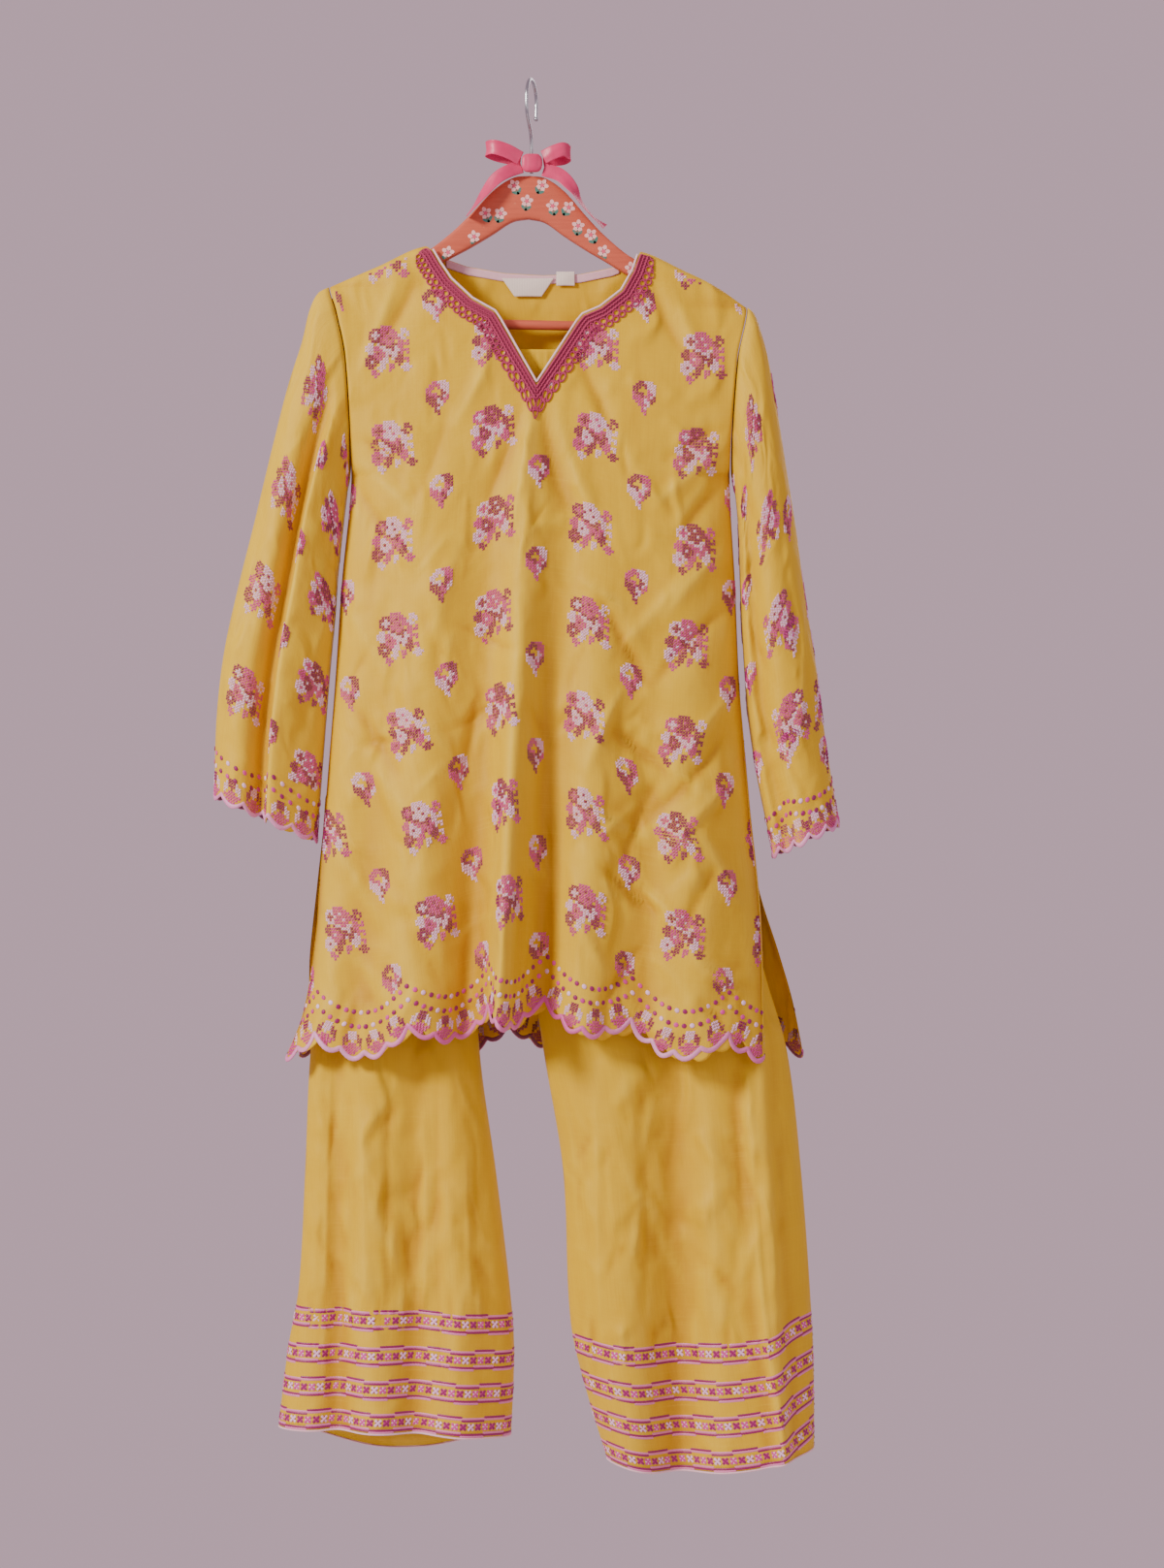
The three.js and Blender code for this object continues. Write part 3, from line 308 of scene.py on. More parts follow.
BODY_DEPTH = sizes("below front back", [
    (0, 9.5, 9.5), (50, 15, 15), (150, 27, 25), (250, 36, 31), (400, 45, 38), (550, 52, 43), (760, 60, 50),
])
FOLD = "start x_start x_hem depth w_start w_hem lean"
FRONT_FOLDS = sizes(FOLD, [
    (292, 2, -25, 37, 22, 12, -5), (330, 34, 8, -17, 26, 15, 0), (360, 60, 46, 13, 30, 22, 3),
    (420, 104, 100, -10, 26, 20, 0), (330, 150, 152, 10, 30, 26, 3), (330, -36, -60, -18, 26, 15, 0),
    (300, -84, -106, 12, 34, 24, -4), (420, -130, -160, -10, 24, 22, 0), (560, -172, -196, 9, 18, 18, 0),
])
CREASE = "x0 drop0 x1 drop1 depth width bow"
FRONT_CREASES = sizes(CREASE, [
    # from the tip and corners of the neck slit
    (9, 288, 34, 404, -3.2, 9, 4), (2, 290, -20, 430, 2.8, 8, -3), (22, 298, 66, 420, 2.4, 9, 5),
    (-6, 298, -50, 408, -2.4, 8, -4), (42, 246, 82, 336, -2.4, 8, 4), (-34, 240, -72, 326, 2.2, 8, -4),
    # shoulders and armholes
    (108, 178, 150, 266, -2.2, 9, 6), (-104, 174, -150, 256, -2.2, 9, -6), (126, 176, 176, 296, 2.2, 9, 4),
    (-122, 170, -165, 284, 2.2, 8, -4), (183, 322, 120, 356, -2.6, 7, 3), (182, 346, 108, 404, 2.4, 8, 5),
    (184, 370, 128, 436, -2.2, 8, 4), (-166, 332, -110, 362, -2.4, 7, -3), (-166, 354, -98, 414, 2.2, 8, -4),
    (-168, 372, -122, 446, -2.0, 8, -3), (70, 300, 118, 392, 1.8, 11, 6), (-76, 300, -112, 400, -1.8, 11, -6),
    # drag lines at the right side
    (188, 430, 120, 506, 2.6, 8, 6), (190, 482, 108, 566, -3.0, 8, 5), (150, 446, 66, 540, 2.2, 9, -5),
    (196, 560, 128, 644, 2.8, 8, 4), (182, 602, 92, 694, -3.4, 8, -6), (190, 644, 118, 726, 2.8, 7, 4),
    # crumples low on the right
    (58, 470, 112, 566, -2.8, 7, 3), (86, 560, 48, 646, 3.0, 7, 3), (68, 600, 134, 652, -2.8, 6, -3),
    (38, 662, 112, 704, 2.8, 6, 3), (122, 640, 80, 736, -3.0, 7, 4), (150, 692, 192, 768, 2.8, 7, -3),
    (58, 722, 122, 772, -2.8, 6, 3), (94, 742, 152, 806, 3.0, 6, -4), (172, 722, 130, 806, -2.6, 7, 3),
    (138, 802, 202, 846, 2.4, 6, 2), (28, 760, 72, 836, 2.6, 7, -3), (102, 800, 58, 866, -2.6, 6, 3),
    (150, 846, 186, 890, -2.2, 6, -2), (84, 842, 124, 886, 2.2, 6, 3),
    # long soft creases on the left
    (-180, 480, -128, 566, 2.2, 9, -4), (-184, 560, -118, 648, -2.2, 9, -4), (-150, 620, -88, 706, 2.0, 9, 4),
    (-190, 690, -138, 786, 2.2, 8, -3), (-120, 740, -78, 836, -2.0, 8, 3), (-172, 800, -118, 866, 1.8, 8, -3),
    (-60, 420, -92, 548, 2.0, 10, 4), (-102, 480, -70, 606, -2.0, 9, -3), (-42, 560, -72, 706, -2.2, 9, 3),
    (-130, 400, -148, 500, -1.6, 10, 3), (-86, 640, -104, 760, 1.6, 9, -3),
    # flutes above the hem
    (-150, 850, -156, 912, 3.0, 9, 0), (-108, 860, -110, 912, -2.6, 8, 0), (66, 850, 64, 912, -2.6, 8, 0),
    (120, 846, 122, 912, 2.8, 9, 0), (176, 850, 182, 912, 2.4, 8, 0),
])


CREASE_GAIN = 1.7


def with_fine_creases(table, seed, count, x_ends, drop_ends):
    """A table of creases with short fine ones scattered among them, most of them steep."""
    rng = np.random.default_rng(seed)
    x, drop = rng.uniform(*x_ends, count), rng.uniform(*drop_ends, count)
    lean, length = rng.normal(0, 0.65, count), rng.uniform(26, 80, count)
    depth = rng.choice([-1, 1], count) * rng.uniform(0.6, 1.5, count)
    rows = [x, drop, x + length * np.sin(lean), drop + length * np.cos(lean), depth, rng.uniform(3, 5, count)]
    rows.append(rng.normal(0, 3, count))
    return {name: np.concatenate([table[name], row]) for name, row in zip(table, rows)}


def smooth(table, key, column, place):
    """A column of a table at each place: a cubic between rows, with slopes from the rows on either side."""
    keys = table[key]
    values = table[column]
    last = len(keys) - 1
    row = np.arange(last + 1)
    before = np.maximum(row - 1, 0)
    after = np.minimum(row + 1, last)
    slope = (values[after] - values[before]) / (keys[after] - keys[before])
    i = np.searchsorted(keys[1:-1], place)
    span = keys[i + 1] - keys[i]
    t = np.clip((place - keys[i]) / span, 0, 1)
    start = (2 * t**3 - 3 * t**2 + 1) * values[i] + (t**3 - 2 * t**2 + t) * span * slope[i]
    return start + (3 * t**2 - 2 * t**3) * values[i + 1] + (t**3 - t**2) * span * slope[i + 1]


def lerp(a, b, t):
    """From a to b by the share t."""
    return a + (b - a) * t


def ease(t):
    """A soft start and end between 0 and 1."""
    held = np.clip(t, 0, 1)
    return held**2 * (3 - 2 * held)


def hanging_folds(folds, x, drop, hem):
    """The sum of folds that grow from their start to the hem: each is a bell across its crest, and the second
    result moves the cloth sideways at the crest."""
    x = x[..., None]
    grown = np.clip((drop[..., None] - folds["start"]) / (hem - folds["start"]), 0, 1.1)
    crest = lerp(folds["x_start"], folds["x_hem"], grown)
    wide = lerp(folds["w_start"], folds["w_hem"], grown)
    bell = np.exp(-(((x - crest) / wide) ** 2)) * grown**0.8
    return (folds["depth"] * bell).sum(-1), (folds["lean"] * bell).sum(-1)


def creased(creases, x, drop):
    """The sum of soft ridges and troughs: each follows a bowed line between two points, is a peaked bell
    across it, and dies away towards both ends."""
    x = x[..., None]
    drop = drop[..., None]
    run_x = creases["x1"] - creases["x0"]
    run_drop = creases["drop1"] - creases["drop0"]
    length = np.hypot(run_x, run_drop)
    from_x = x - creases["x0"]
    from_drop = drop - creases["drop0"]
    t = (from_x * run_x + from_drop * run_drop) / length**2
    aside = (from_drop * run_x - from_x * run_drop) / length - creases["bow"] * 4 * t * (1 - t)
    fade = np.sin(np.pi * np.clip(t, 0, 1)) ** 0.8
    return CREASE_GAIN * (creases["depth"] * np.exp(-np.abs(aside / creases["width"]) ** 1.2) * fade).sum(-1)


def grain_lift(face, u, level):
    """How far a panel's grain is lifted at its middle, where the folds take the cloth in."""
    return GRAIN_LIFT[face] * (1 - np.exp(-np.maximum(level - 180, 0) / 150)) * np.exp(-((u / 0.45) ** 2))


def kurta_surface(face, sides, folds, creases):
    """The surface of a body panel as a function of u, from its left edge at -1 to its right edge at 1, and of
    the level, which is the drop along the cloth's grain."""
    depth_name = "front" if face < 0 else "back"

    def surface(u, level):
        u, level = np.broadcast_arrays(np.asarray(u, float), np.asarray(level, float))
        drop = level - grain_lift(face, u, level)
        left = smooth(sides, "drop", "left", drop)
        x = lerp(left, smooth(sides, "drop", "right", drop), (u + 1) / 2)
        below = np.maximum(drop - smooth(RIDGE, "x", "drop", x), 0)
        depth = smooth(BODY_DEPTH, "below", depth_name, below)
        rounded = np.sqrt(np.maximum(1 - np.abs(u) ** 4, 0))
        tip = np.where(u < 0, RIDGE["drop"][1], RIDGE["drop"][8])
        share = np.clip((drop - tip) / (UNDERARM_DROP - tip), 0, 1)
        slit_left = np.interp(drop, sides["drop"], sides["off_left"])
        slit_right = np.interp(drop, sides["drop"], sides["off_right"])
        edge = ARMHOLE_DEPTH * 2 * np.sqrt(share * (1 - share)) + np.where(u < 0, slit_left, slit_right)
        wrap = np.sqrt(1 - (1 - np.clip(below / 8, 0, 1)) ** 2)
        out, aside = hanging_folds(folds, x, drop, HEM_DROP)
        inside = 1 - np.abs(u) ** 8
        crease = creased(creases, x, drop) * (1 - np.abs(u) ** 16) * np.clip((below - 6) / 30, 0, 1)
        stand = wrap * (lerp(edge, np.maximum(depth, edge), rounded) + out * inside + crease)
        return np.stack([x + aside * inside, face * (HALF_SEAM + np.maximum(stand, 0)), -drop], -1)

    return surface


class Cloth:
    """A surface of two places, u across and v along, and its grain: the length across it from its middle,
    s, and the length along it, level. side is 1 or -1, whichever makes the normal point out of the
    garment."""

    FINE = 360

    def __init__(self, surface, u_ends, v_rows, middle, side, levels=None):
        self.surface = surface
        self.side = side
        self.u = np.linspace(*u_ends, self.FINE)
        self.v = np.asarray(v_rows, float)
        grid = surface(self.u[None, :], self.v[:, None])
        steps = np.linalg.norm(np.diff(grid, axis=1), axis=-1)
        arcs = np.concatenate([np.zeros((len(self.v), 1)), np.cumsum(steps, 1)], 1)
        near = int(np.argmin(np.abs(self.u - middle)))
        self.arcs = arcs - arcs[:, near : near + 1]
        down = np.linalg.norm(np.diff(grid[:, near], axis=0), axis=-1)
        self.levels = self.v if levels is None else levels + np.concatenate([[0], np.cumsum(down)])

    def row_of(self, level):
        """The row of the table above a level, and the share of the way to the next."""
        place = np.interp(level, self.levels, np.arange(len(self.levels)))
        row = np.minimum(place.astype(int), len(self.levels) - 2)
        return row, place - row

    def across(self, u, v):
        """The length across the cloth at places u and v."""
        u, v = np.broadcast_arrays(u, v)
        place = np.interp(v, self.v, np.arange(len(self.v)))
        row = np.minimum(place.astype(int), len(self.v) - 2)
        column = (u - self.u[0]) / (self.u[1] - self.u[0])
        col = np.clip(column.astype(int), 0, self.FINE - 2)
        a, b = place - row, column - col
        upper = lerp(self.arcs[row, col], self.arcs[row, col + 1], b)
        return lerp(upper, lerp(self.arcs[row + 1, col], self.arcs[row + 1, col + 1], b), a)

    def places(self, s, level):
        """The places u and v at a length across and along the cloth."""
        row, share = self.row_of(level)
        gap = 4000.0
        lines = (self.arcs + gap * np.arange(len(self.v))[:, None]).ravel()
        u_all = np.tile(self.u, len(self.v))
        upper = np.interp(s + gap * row, lines, u_all)
        lower = np.interp(s + gap * (row + 1), lines, u_all)
        return lerp(upper, lower, share), lerp(self.v[row], self.v[row + 1], share)

    def point(self, s, level):
        """The point of the cloth at a length across and along it."""
        return self.surface(*self.places(s, level))

    def frame(self, s, level):
        """A point of the cloth with its directions across, along and out, each a unit long."""
        here = self.point(s, level)
        reach = 0.6
        across = self.point(s + reach, level) - self.point(s - reach, level)
        along = self.point(s, level + reach) - self.point(s, level - reach)
        across /= np.linalg.norm(across, axis=-1, keepdims=True) + 1e-9
        along /= np.linalg.norm(along, axis=-1, keepdims=True) + 1e-9
        out = self.side * np.cross(across, along)
        return here, across, along, out / (np.linalg.norm(out, axis=-1, keepdims=True) + 1e-9)


def hem_level(scallop):
    """The level of a hem by the distance along it in small scallops: the size of a sine for the big waves,
    and of a quicker one for the small scallops."""
    wave = np.abs(np.sin(np.pi * (scallop - 2) / SCALLOPS_PER_WAVE))
    small = np.abs(np.sin(np.pi * scallop))
    return HEM_DROP + WAVE_DEPTH * (wave - 1) + SCALLOP_DEPTH * (small - 0.5)


# Each try brings the top edge and the grain closer to agreement.
TRIES = 14


def top_level(face, sides, neck, u):
    """The level of a panel's top edge, which is the shoulder line or the neck's edge, by repeated tries."""
    drop = np.full(np.shape(u), 190.0)
    for _ in range(TRIES):
        x = lerp(smooth(sides, "drop", "left", drop), smooth(sides, "drop", "right", drop), (u + 1) / 2)
        in_neck = (x > neck["x"][0]) & (x < neck["x"][-1])
        drop = np.where(in_neck, np.interp(x, neck["x"], neck["drop"]), smooth(RIDGE, "x", "drop", x))
    level = drop
    for _ in range(TRIES):
        level = drop + grain_lift(face, u, level)
    return level


def hollows(grid, reach):
    """How hollow (+) or proud (-) each point of a grid is: its distance below the mean of four neighbours.
    The cloth's painted shade in hollows and its painted highlight on ridges follow it.
    """
    rows = np.arange(grid.shape[0])
    cols = np.arange(grid.shape[1])
    up, down = np.clip(rows - reach, 0, rows[-1]), np.clip(rows + reach, 0, rows[-1])
    left, right = np.clip(cols - reach, 0, cols[-1]), np.clip(cols + reach, 0, cols[-1])
    return (grid[up] + grid[down] + grid[:, left] + grid[:, right]) / 4 - grid


def kurta_panel(name, cloth, sides, neck, steps, rows, face):
    """A body panel's mesh. Columns pass through each corner of the neck edge at the top and are evenly
    spaced at the hem; rows run from the top edge down to the scallops, closer together where the cloth
    turns over."""
    left = smooth(sides, "drop", "left", neck["drop"])
    corners = 2 * (neck["x"] - left) / (smooth(sides, "drop", "right", neck["drop"]) - left) - 1
    corners = np.concatenate([[-1], corners, [1]])
    count = sum(steps)
    tops = np.interp(np.arange(count + 1), np.concatenate([[0], np.cumsum(steps)]), corners)
    width = cloth.arcs[-1, -1] - cloth.arcs[-1, 0]
    share = np.linspace(0, 1, count + 1)
    hems, _ = cloth.places(cloth.arcs[-1, 0] + width * share, np.full(count + 1, float(HEM_DROP)))
    turn_over = np.array([0, 0.4, 1, 2, 3.4, 5.2, 7, 9])[:, None]
    top_rows = top_level(face, sides, neck, tops)[None, :] + turn_over
    down = np.linspace(0, 1, rows + 1)[1:, None]
    u = lerp(tops[None, :], hems[None, :], ease(1.5 * down))
    level = lerp(top_level(face, sides, neck, u) + 9, hem_level(share * SCALLOPS)[None, :], down)
    u = np.vstack([np.repeat(tops[None, :], len(turn_over), 0), u])
    level = np.vstack([top_rows, level])
    grid = cloth.surface(u, level)
    uv = np.stack([cloth.across(u, level), level], -1)
    piece = skin(name, grid, uv=uv, outward=(0, face, 0), wall=CLOTH_WALL)
    hollow = (hollows(grid, 4) @ np.array([0, face, 0.0])).ravel()
    piece.data.attributes.new("hollow", "FLOAT", "POINT").data.foreach_set("value", hollow)
    return piece


# How much finer the small wrinkles are across and along the cloth than the pattern that makes them.
WRINKLE_STRETCH = (34.0, 19.0, 1.0)


def cotton_silk(name, ground, shade, light):
    """Fine plain cotton silk: threads both ways with slubs, painted shade that deepens its colour in hollows,
    and a painted highlight that pales it on ridges. It reads the cloth's own lengths, in metres, and from an
    attribute how hollow the cloth is, in millimetres."""
    cloth = Finish(name)
    grain = cloth.node("ShaderNodeUVMap", {"uv_map": "cloth"})
    place = cloth.node("ShaderNodeTexCoord", None, None, 3)
    parts = cloth.node("ShaderNodeSeparateXYZ", None, {0: grain})
    upright = cloth.node("ShaderNodeSeparateXYZ", None, {0: grain}, 1)
    warp = cloth.node("ShaderNodeMath", {"operation": "SINE"}, {0: parts * 11000.0})
    weft = cloth.node("ShaderNodeMath", {"operation": "SINE"}, {0: upright * 9000.0})
    slub_across = cloth.noise(cloth.stretched(grain, (22.0, 900.0, 1.0)), 1.0, 3.0)
    slub_along = cloth.noise(cloth.stretched(grain, (1100.0, 16.0, 1.0)), 1.0, 2.0)
    cloudy = cloth.noise(place, 9.0, 3.0, 0.6)
    hollow = cloth.node("ShaderNodeAttribute", {"attribute_name": "hollow"}, None, 2)
    # Painted shade: hollows deepen the colour towards the shade yellow. Painted highlight: ridges pale it.
    colour = cloth.mix(cloth.levels(hollow, 0.1, 2.4, 0.0, 0.6), ground, shade)
    colour = cloth.mix(cloth.levels(hollow, -0.1, -2.4, 0.0, 0.55), colour, light)
    colour = cloth.mix(cloth.levels(slub_across, 0.52, 0.8, 0.0, 0.35), colour, light)
    colour = cloth.mix(cloth.levels(slub_along, 0.45, 0.75, 0.0, 0.2), colour, shade)
    colour = cloth.mix(cloth.levels(cloudy, 0.35, 0.7, 0.0, 0.16), colour, shade)
    threads = warp * 0.25 + weft * 0.25 + slub_across * 0.9 + slub_along * 0.5
    crumple = cloth.noise(cloth.stretched(grain, (34.0, 26.0, 1.0)), 1.0, 3.0, 0.55)
    sockets = {
        "Vector": cloth.stretched(grain, WRINKLE_STRETCH),
        "Scale": 1.0,
        "Detail": 2.0,
        "Distortion": 0.5,
    }
    ridged = {"noise_type": "RIDGED_MULTIFRACTAL", "normalize": True}
    wrinkle = cloth.node("ShaderNodeTexNoise", ridged, sockets)
    fine = cloth.bump(threads, 0.35, 0.00012)
    sockets = {"Height": crumple, "Strength": 0.6, "Distance": 0.002, "Normal": fine}
    normal = cloth.node("ShaderNodeBump", None, sockets)
    sockets = {"Height": wrinkle, "Strength": 1.0, "Distance": 0.006, "Normal": normal}
    normal = cloth.node("ShaderNodeBump", None, sockets)
    rough = cloth.levels(slub_across, 0.3, 0.8, 0.5, 0.62)
    sockets = {
        "Base Color": colour, "Roughness": rough, "Normal": normal, "Sheen Weight": 0.04,
        "Sheen Roughness": 0.4, "Specular IOR Level": 0.3,
    }
    return cloth.surface(sockets, (0.16, linear(250, 200, 16)))


# The deep yellow is painted shade in hollows and also the colour of some slubs and of the mottling. The pale
# yellow is a painted highlight on ridges and also the colour of other slubs.
YELLOW = linear(238, 198, 22)
SHADE_AND_SLUB_YELLOW = linear(204, 146, 4)
HIGHLIGHT_AND_SLUB_YELLOW = linear(248, 216, 62)
yellow_silk = cotton_silk("yellow_cotton_silk", YELLOW, SHADE_AND_SLUB_YELLOW, HIGHLIGHT_AND_SLUB_YELLOW)

KURTA_LEVELS = np.linspace(120, 965, 170)
FRONT_CREASES = with_fine_creases(FRONT_CREASES, 3, 56, (-180, 200), (300, 850))
front_surface = kurta_surface(-1, FRONT_SIDES, FRONT_FOLDS, FRONT_CREASES)
front_cloth = Cloth(front_surface, (-1, 1), KURTA_LEVELS, 0.0, -1)
FRONT_STEPS = [31, 3, 3, 4, 7, 7, 2, 13, 13, 2, 6, 7, 5, 4, 2, 35]
kurta_front = kurta_panel("kurta_front_cloth", front_cloth, FRONT_SIDES, NECK, FRONT_STEPS, 214, -1)
dress(kurta_front, yellow_silk, ["kurta_front"])

# ------------------------------------------------------------------ kurta back
# The back of the tunic, cut to the same length with a shallow neck. It shows beside the right slit and, from
# inside, between the legs. Its folds and creases are of the same kind as the front's.

BACK_NECK = sizes("x drop", [
    (-98, 153), (-95.5, 155.5), (-86, 161), (-60, 170), (-25, 176), (10, 178), (45, 177), (75, 171),
    (94, 164),
    (98.5, 161), (101, 158),
])
BACK_SIDES = sizes("drop left right off_left off_right", [
    (150, -187, 199, 0, 0), (191, -187, 199, 0, 0), (215, -180, 199, 0, 0), (260, -171, 190, 0, 0),
    (365, -167, 184, 0, 0), (465, -176, 189, 0, 0), (555, -182, 193, 0, 0), (670, -191, 202, 0, 0),
    (745, -199, 210, 0, 0), (810, -206, 230, 2, 3), (855, -208, 243, 6, 6), (915, -219, 255, 14, 10),
])
BACK_FOLDS = sizes(FOLD, [
    (300, -70, -92, 20, 34, 22, -4), (420, -20, -34, -15, 26, 20, 0), (280, 30, 22, 22, 34, 20, 3),
    (440, 84, 88, -14, 26, 22, 0), (320, 128, 150, 16, 28, 24, 4), (560, -130, -150, -11, 24, 20, 0),
])
BACK_CREASES = sizes(CREASE, [
    (-60, 200, -110, 330, 2.2, 10, -6), (66, 204, 120, 336, 2.4, 10, 6), (-20, 196, -44, 330, -1.8, 12, -4),
    (30, 200, 52, 320, -2.0, 11, 4), (-166, 330, -100, 366, -2.4, 8, -4), (183, 324, 116, 362, -2.6, 8, 4),
    (-168, 362, -92, 430, 2.2, 8, -5), (184, 356, 104, 424, 2.4, 8, 5), (-172, 420, -118, 500, -2.0, 8, 3),
    (188, 440, 122, 520, 2.6, 8, -4), (188, 500, 96, 590, -2.8, 8, 5), (-182, 520, -110, 604, 2.4, 9, -5),
    (130, 560, 70, 664, 2.4, 8, 4), (60, 600, 118, 676, -2.4, 7, -3), (-90, 590, -40, 690, 2.0, 8, 4),
    (-150, 640, -86, 730, -2.4, 8, -4), (40, 690, 96, 770, 2.4, 7, 3), (150, 660, 190, 756, -2.2, 8, 3),
    (-60, 740, -108, 830, 2.2, 8, -3), (120, 770, 180, 836, 2.6, 7, -3), (10, 780, -30, 862, -2.0, 8, 3),
    (-180, 770, -136, 850, 2.0, 8, 3), (-20, 850, -22, 912, 2.6, 9, 0), (84, 846, 88, 912, -2.6, 9, 0),
    (-140, 850, -144, 912, -2.4, 9, 0), (200, 846, 206, 912, 2.2, 9, 0),
])
BACK_CREASES = with_fine_creases(BACK_CREASES, 5, 44, (-180, 200), (260, 850))
back_cloth = Cloth(kurta_surface(1, BACK_SIDES, BACK_FOLDS, BACK_CREASES), (-1, 1), KURTA_LEVELS, 0.0, 1)
BACK_STEPS = [22, 2, 3, 8, 11, 11, 11, 8, 5, 2, 2, 23]
kurta_back = kurta_panel("kurta_back_cloth", back_cloth, BACK_SIDES, BACK_NECK, BACK_STEPS, 124, 1)
dress(kurta_back, yellow_silk, ["kurta_back"])

# ------------------------------------------------------------------ sleeves
# Two three-quarter sleeves, each one length of the same cloth closed by a seam under the arm and set into the
# armhole. Each hangs in a long fold, and its cuff is cut in small scallops.

RING = "ring x_out drop_out x_in drop_in front back fold bow"
LEFT_SLEEVE = sizes(RING, [
    (0, -187.5, 191, -167.5, 366, 18, 18, 0, 1), (1, -198, 197, -168, 371, 21, 20, 0.15, 0.8),
    (2, -206, 214, -170, 380, 24, 22, 0.4, 0.6), (3, -213, 243, -172, 396, 27, 24, 0.7, 0.4),
    (4, -226, 284, -175, 420, 30, 26, 0.9, 0.2), (5, -241, 343, -179, 456, 33, 28, 1, 0),
    (6, -257, 410, -182, 498, 35, 30, 1, 0), (7, -272, 470, -186, 540, 36, 31, 1, 0),
    (8, -285, 530, -190, 588, 36, 32, 1, 0), (9, -292, 592, -194, 640, 36, 32, 1, 0),
    (10, -294, 662, -199, 703, 35, 31, 1, 0),
])
RIGHT_SLEEVE = sizes(RING, [
    (0, 199.5, 210, 184.5, 366, 18, 18, 0, 1), (1, 206, 216, 186, 371, 22, 21, 0.1, 0.8),
    (2, 212, 232, 188, 381, 26, 24, 0.3, 0.6), (3, 219, 258, 190, 396, 30, 28, 0.5, 0.4),
    (4, 227, 302, 192, 422, 34, 32, 0.8, 0.2), (5, 236, 358, 193, 456, 38, 35, 1, 0),
    (6, 245, 415, 194.5, 496, 40, 37, 1, 0), (7, 253, 475, 197, 540, 41, 38, 1, 0),
    (8, 264, 545, 201, 592, 40, 38, 1, 0), (9, 273, 615, 210, 650, 38, 36, 1, 0),
    (10, 285, 688, 224, 717, 36, 34, 1, 0),
])
SLEEVE_FOLD = "angle width depth lean"
LEFT_SLEEVE_FOLDS = sizes(SLEEVE_FOLD, [
    (1.5, 0.24, -0.55, 0), (1.98, 0.26, 0.25, -0.13), (4.6, 0.4, -0.3, 0),
])
RIGHT_SLEEVE_FOLDS = sizes(SLEEVE_FOLD, [(2.2, 0.3, -0.3, 0), (4.2, 0.4, -0.35, 0)])
# Creases of a sleeve, in angle and in rings from the armhole; depth is in millimetres, width in radians.
SLEEVE_CREASE = "a0 r0 a1 r1 depth width"
LEFT_SLEEVE_CREASES = sizes(SLEEVE_CREASE, [
    (2.9, 1.6, 2.1, 4.6, 2.4, 0.16), (2.6, 2.6, 1.9, 5.4, -2.2, 0.14), (0.6, 1.4, 0.9, 4.0, 1.8, 0.18),
    (2.9, 5.2, 2.3, 7.4, 2.6, 0.14), (2.7, 6.6, 2.2, 8.8, -2.6, 0.13), (0.5, 5.6, 1.0, 7.6, -2.2, 0.14),
    (0.4, 7.2, 1.0, 9.2, 2.4, 0.13), (2.9, 8.0, 2.4, 9.7, 2.4, 0.12), (4.0, 2.0, 4.8, 5.0, 2.2, 0.2),
    (5.4, 4.0, 4.9, 7.4, -2.2, 0.18), (3.9, 6.2, 4.6, 9.2, 2.4, 0.16), (5.6, 7.4, 5.2, 9.6, 2.0, 0.16),
])
RIGHT_SLEEVE_CREASES = sizes(SLEEVE_CREASE, [
    (2.8, 1.4, 1.8, 4.4, 2.6, 0.16), (2.5, 2.8, 1.6, 5.6, -2.6, 0.14), (1.0, 2.0, 0.8, 5.4, 2.0, 0.2),
    (2.8, 4.8, 1.9, 6.6, 2.8, 0.13), (2.6, 6.0, 1.7, 8.0, -2.8, 0.13), (1.2, 5.6, 0.8, 8.4, -2.4, 0.16),
    (2.7, 7.4, 2.0, 9.2, 2.8, 0.12), (0.6, 7.2, 1.4, 8.8, 2.6, 0.12), (2.2, 8.2, 1.3, 9.6, -2.4, 0.12),
    (4.1, 2.2, 4.9, 5.2, 2.2, 0.2), (5.5, 4.2, 4.8, 7.2, -2.4, 0.18), (3.8, 6.0, 4.7, 8.8, 2.6, 0.16),
    (5.7, 7.2, 5.1, 9.4, 2.2, 0.16),
])
CUFF_SCALLOPS = 12
LAST_RING = 10.0


def sleeve_surface(rings, folds, creases):
    """The surface of a sleeve as a function of the angle, from its outer point through its front, and of the
    ring: a flattened tube whose half-depth is multiplied by bells for folds and moved out by its creases."""
    seam_x = "left" if rings["x_out"][0] < 0 else "right"
    side = np.sign(rings["x_out"][0])

    def surface(angle, ring):
        angle, ring = np.broadcast_arrays(np.asarray(angle, float), np.asarray(ring, float))
        r = {name: smooth(rings, "ring", name, ring) for name in rings if name != "ring"}
        sine = np.sin(angle)
        share = (1 - np.cos(angle)) / 2
        out = np.sign(sine) * np.abs(sine) ** lerp(0.8, 1.0, r["bow"])
        bell = np.exp(-(((angle[..., None] - folds["angle"]) / folds["width"]) ** 2)) * r["fold"][..., None]
        out = out + (folds["depth"] * bell).sum(-1) * np.sign(out)
        share = share + (folds["lean"] * bell).sum(-1)
        seam_drop = lerp(rings["drop_out"][0], rings["drop_in"][0], share)
        armhole = smooth(FRONT_SIDES, "drop", seam_x, seam_drop)
        bow = r["bow"] * (armhole + side * 1.2 - lerp(rings["x_out"][0], rings["x_in"][0], share))
        t = np.clip((ring[..., None] - creases["r0"]) / (creases["r1"] - creases["r0"]), 0, 1)
        line = lerp(creases["a0"], creases["a1"], t)
        ripple = creases["depth"] * np.exp(-np.abs((angle[..., None] - line) / creases["width"]) ** 1.5)
        ripple = (ripple * np.sin(np.pi * t) ** 0.8).sum(-1) * np.sign(sine) * np.abs(sine) ** 0.4
        depth = np.where(sine > 0, r["front"], r["back"])
        x = lerp(r["x_out"], r["x_in"], share) + bow
        return np.stack([x, -depth * out - ripple, -lerp(r["drop_out"], r["drop_in"], share)], -1)

    return surface


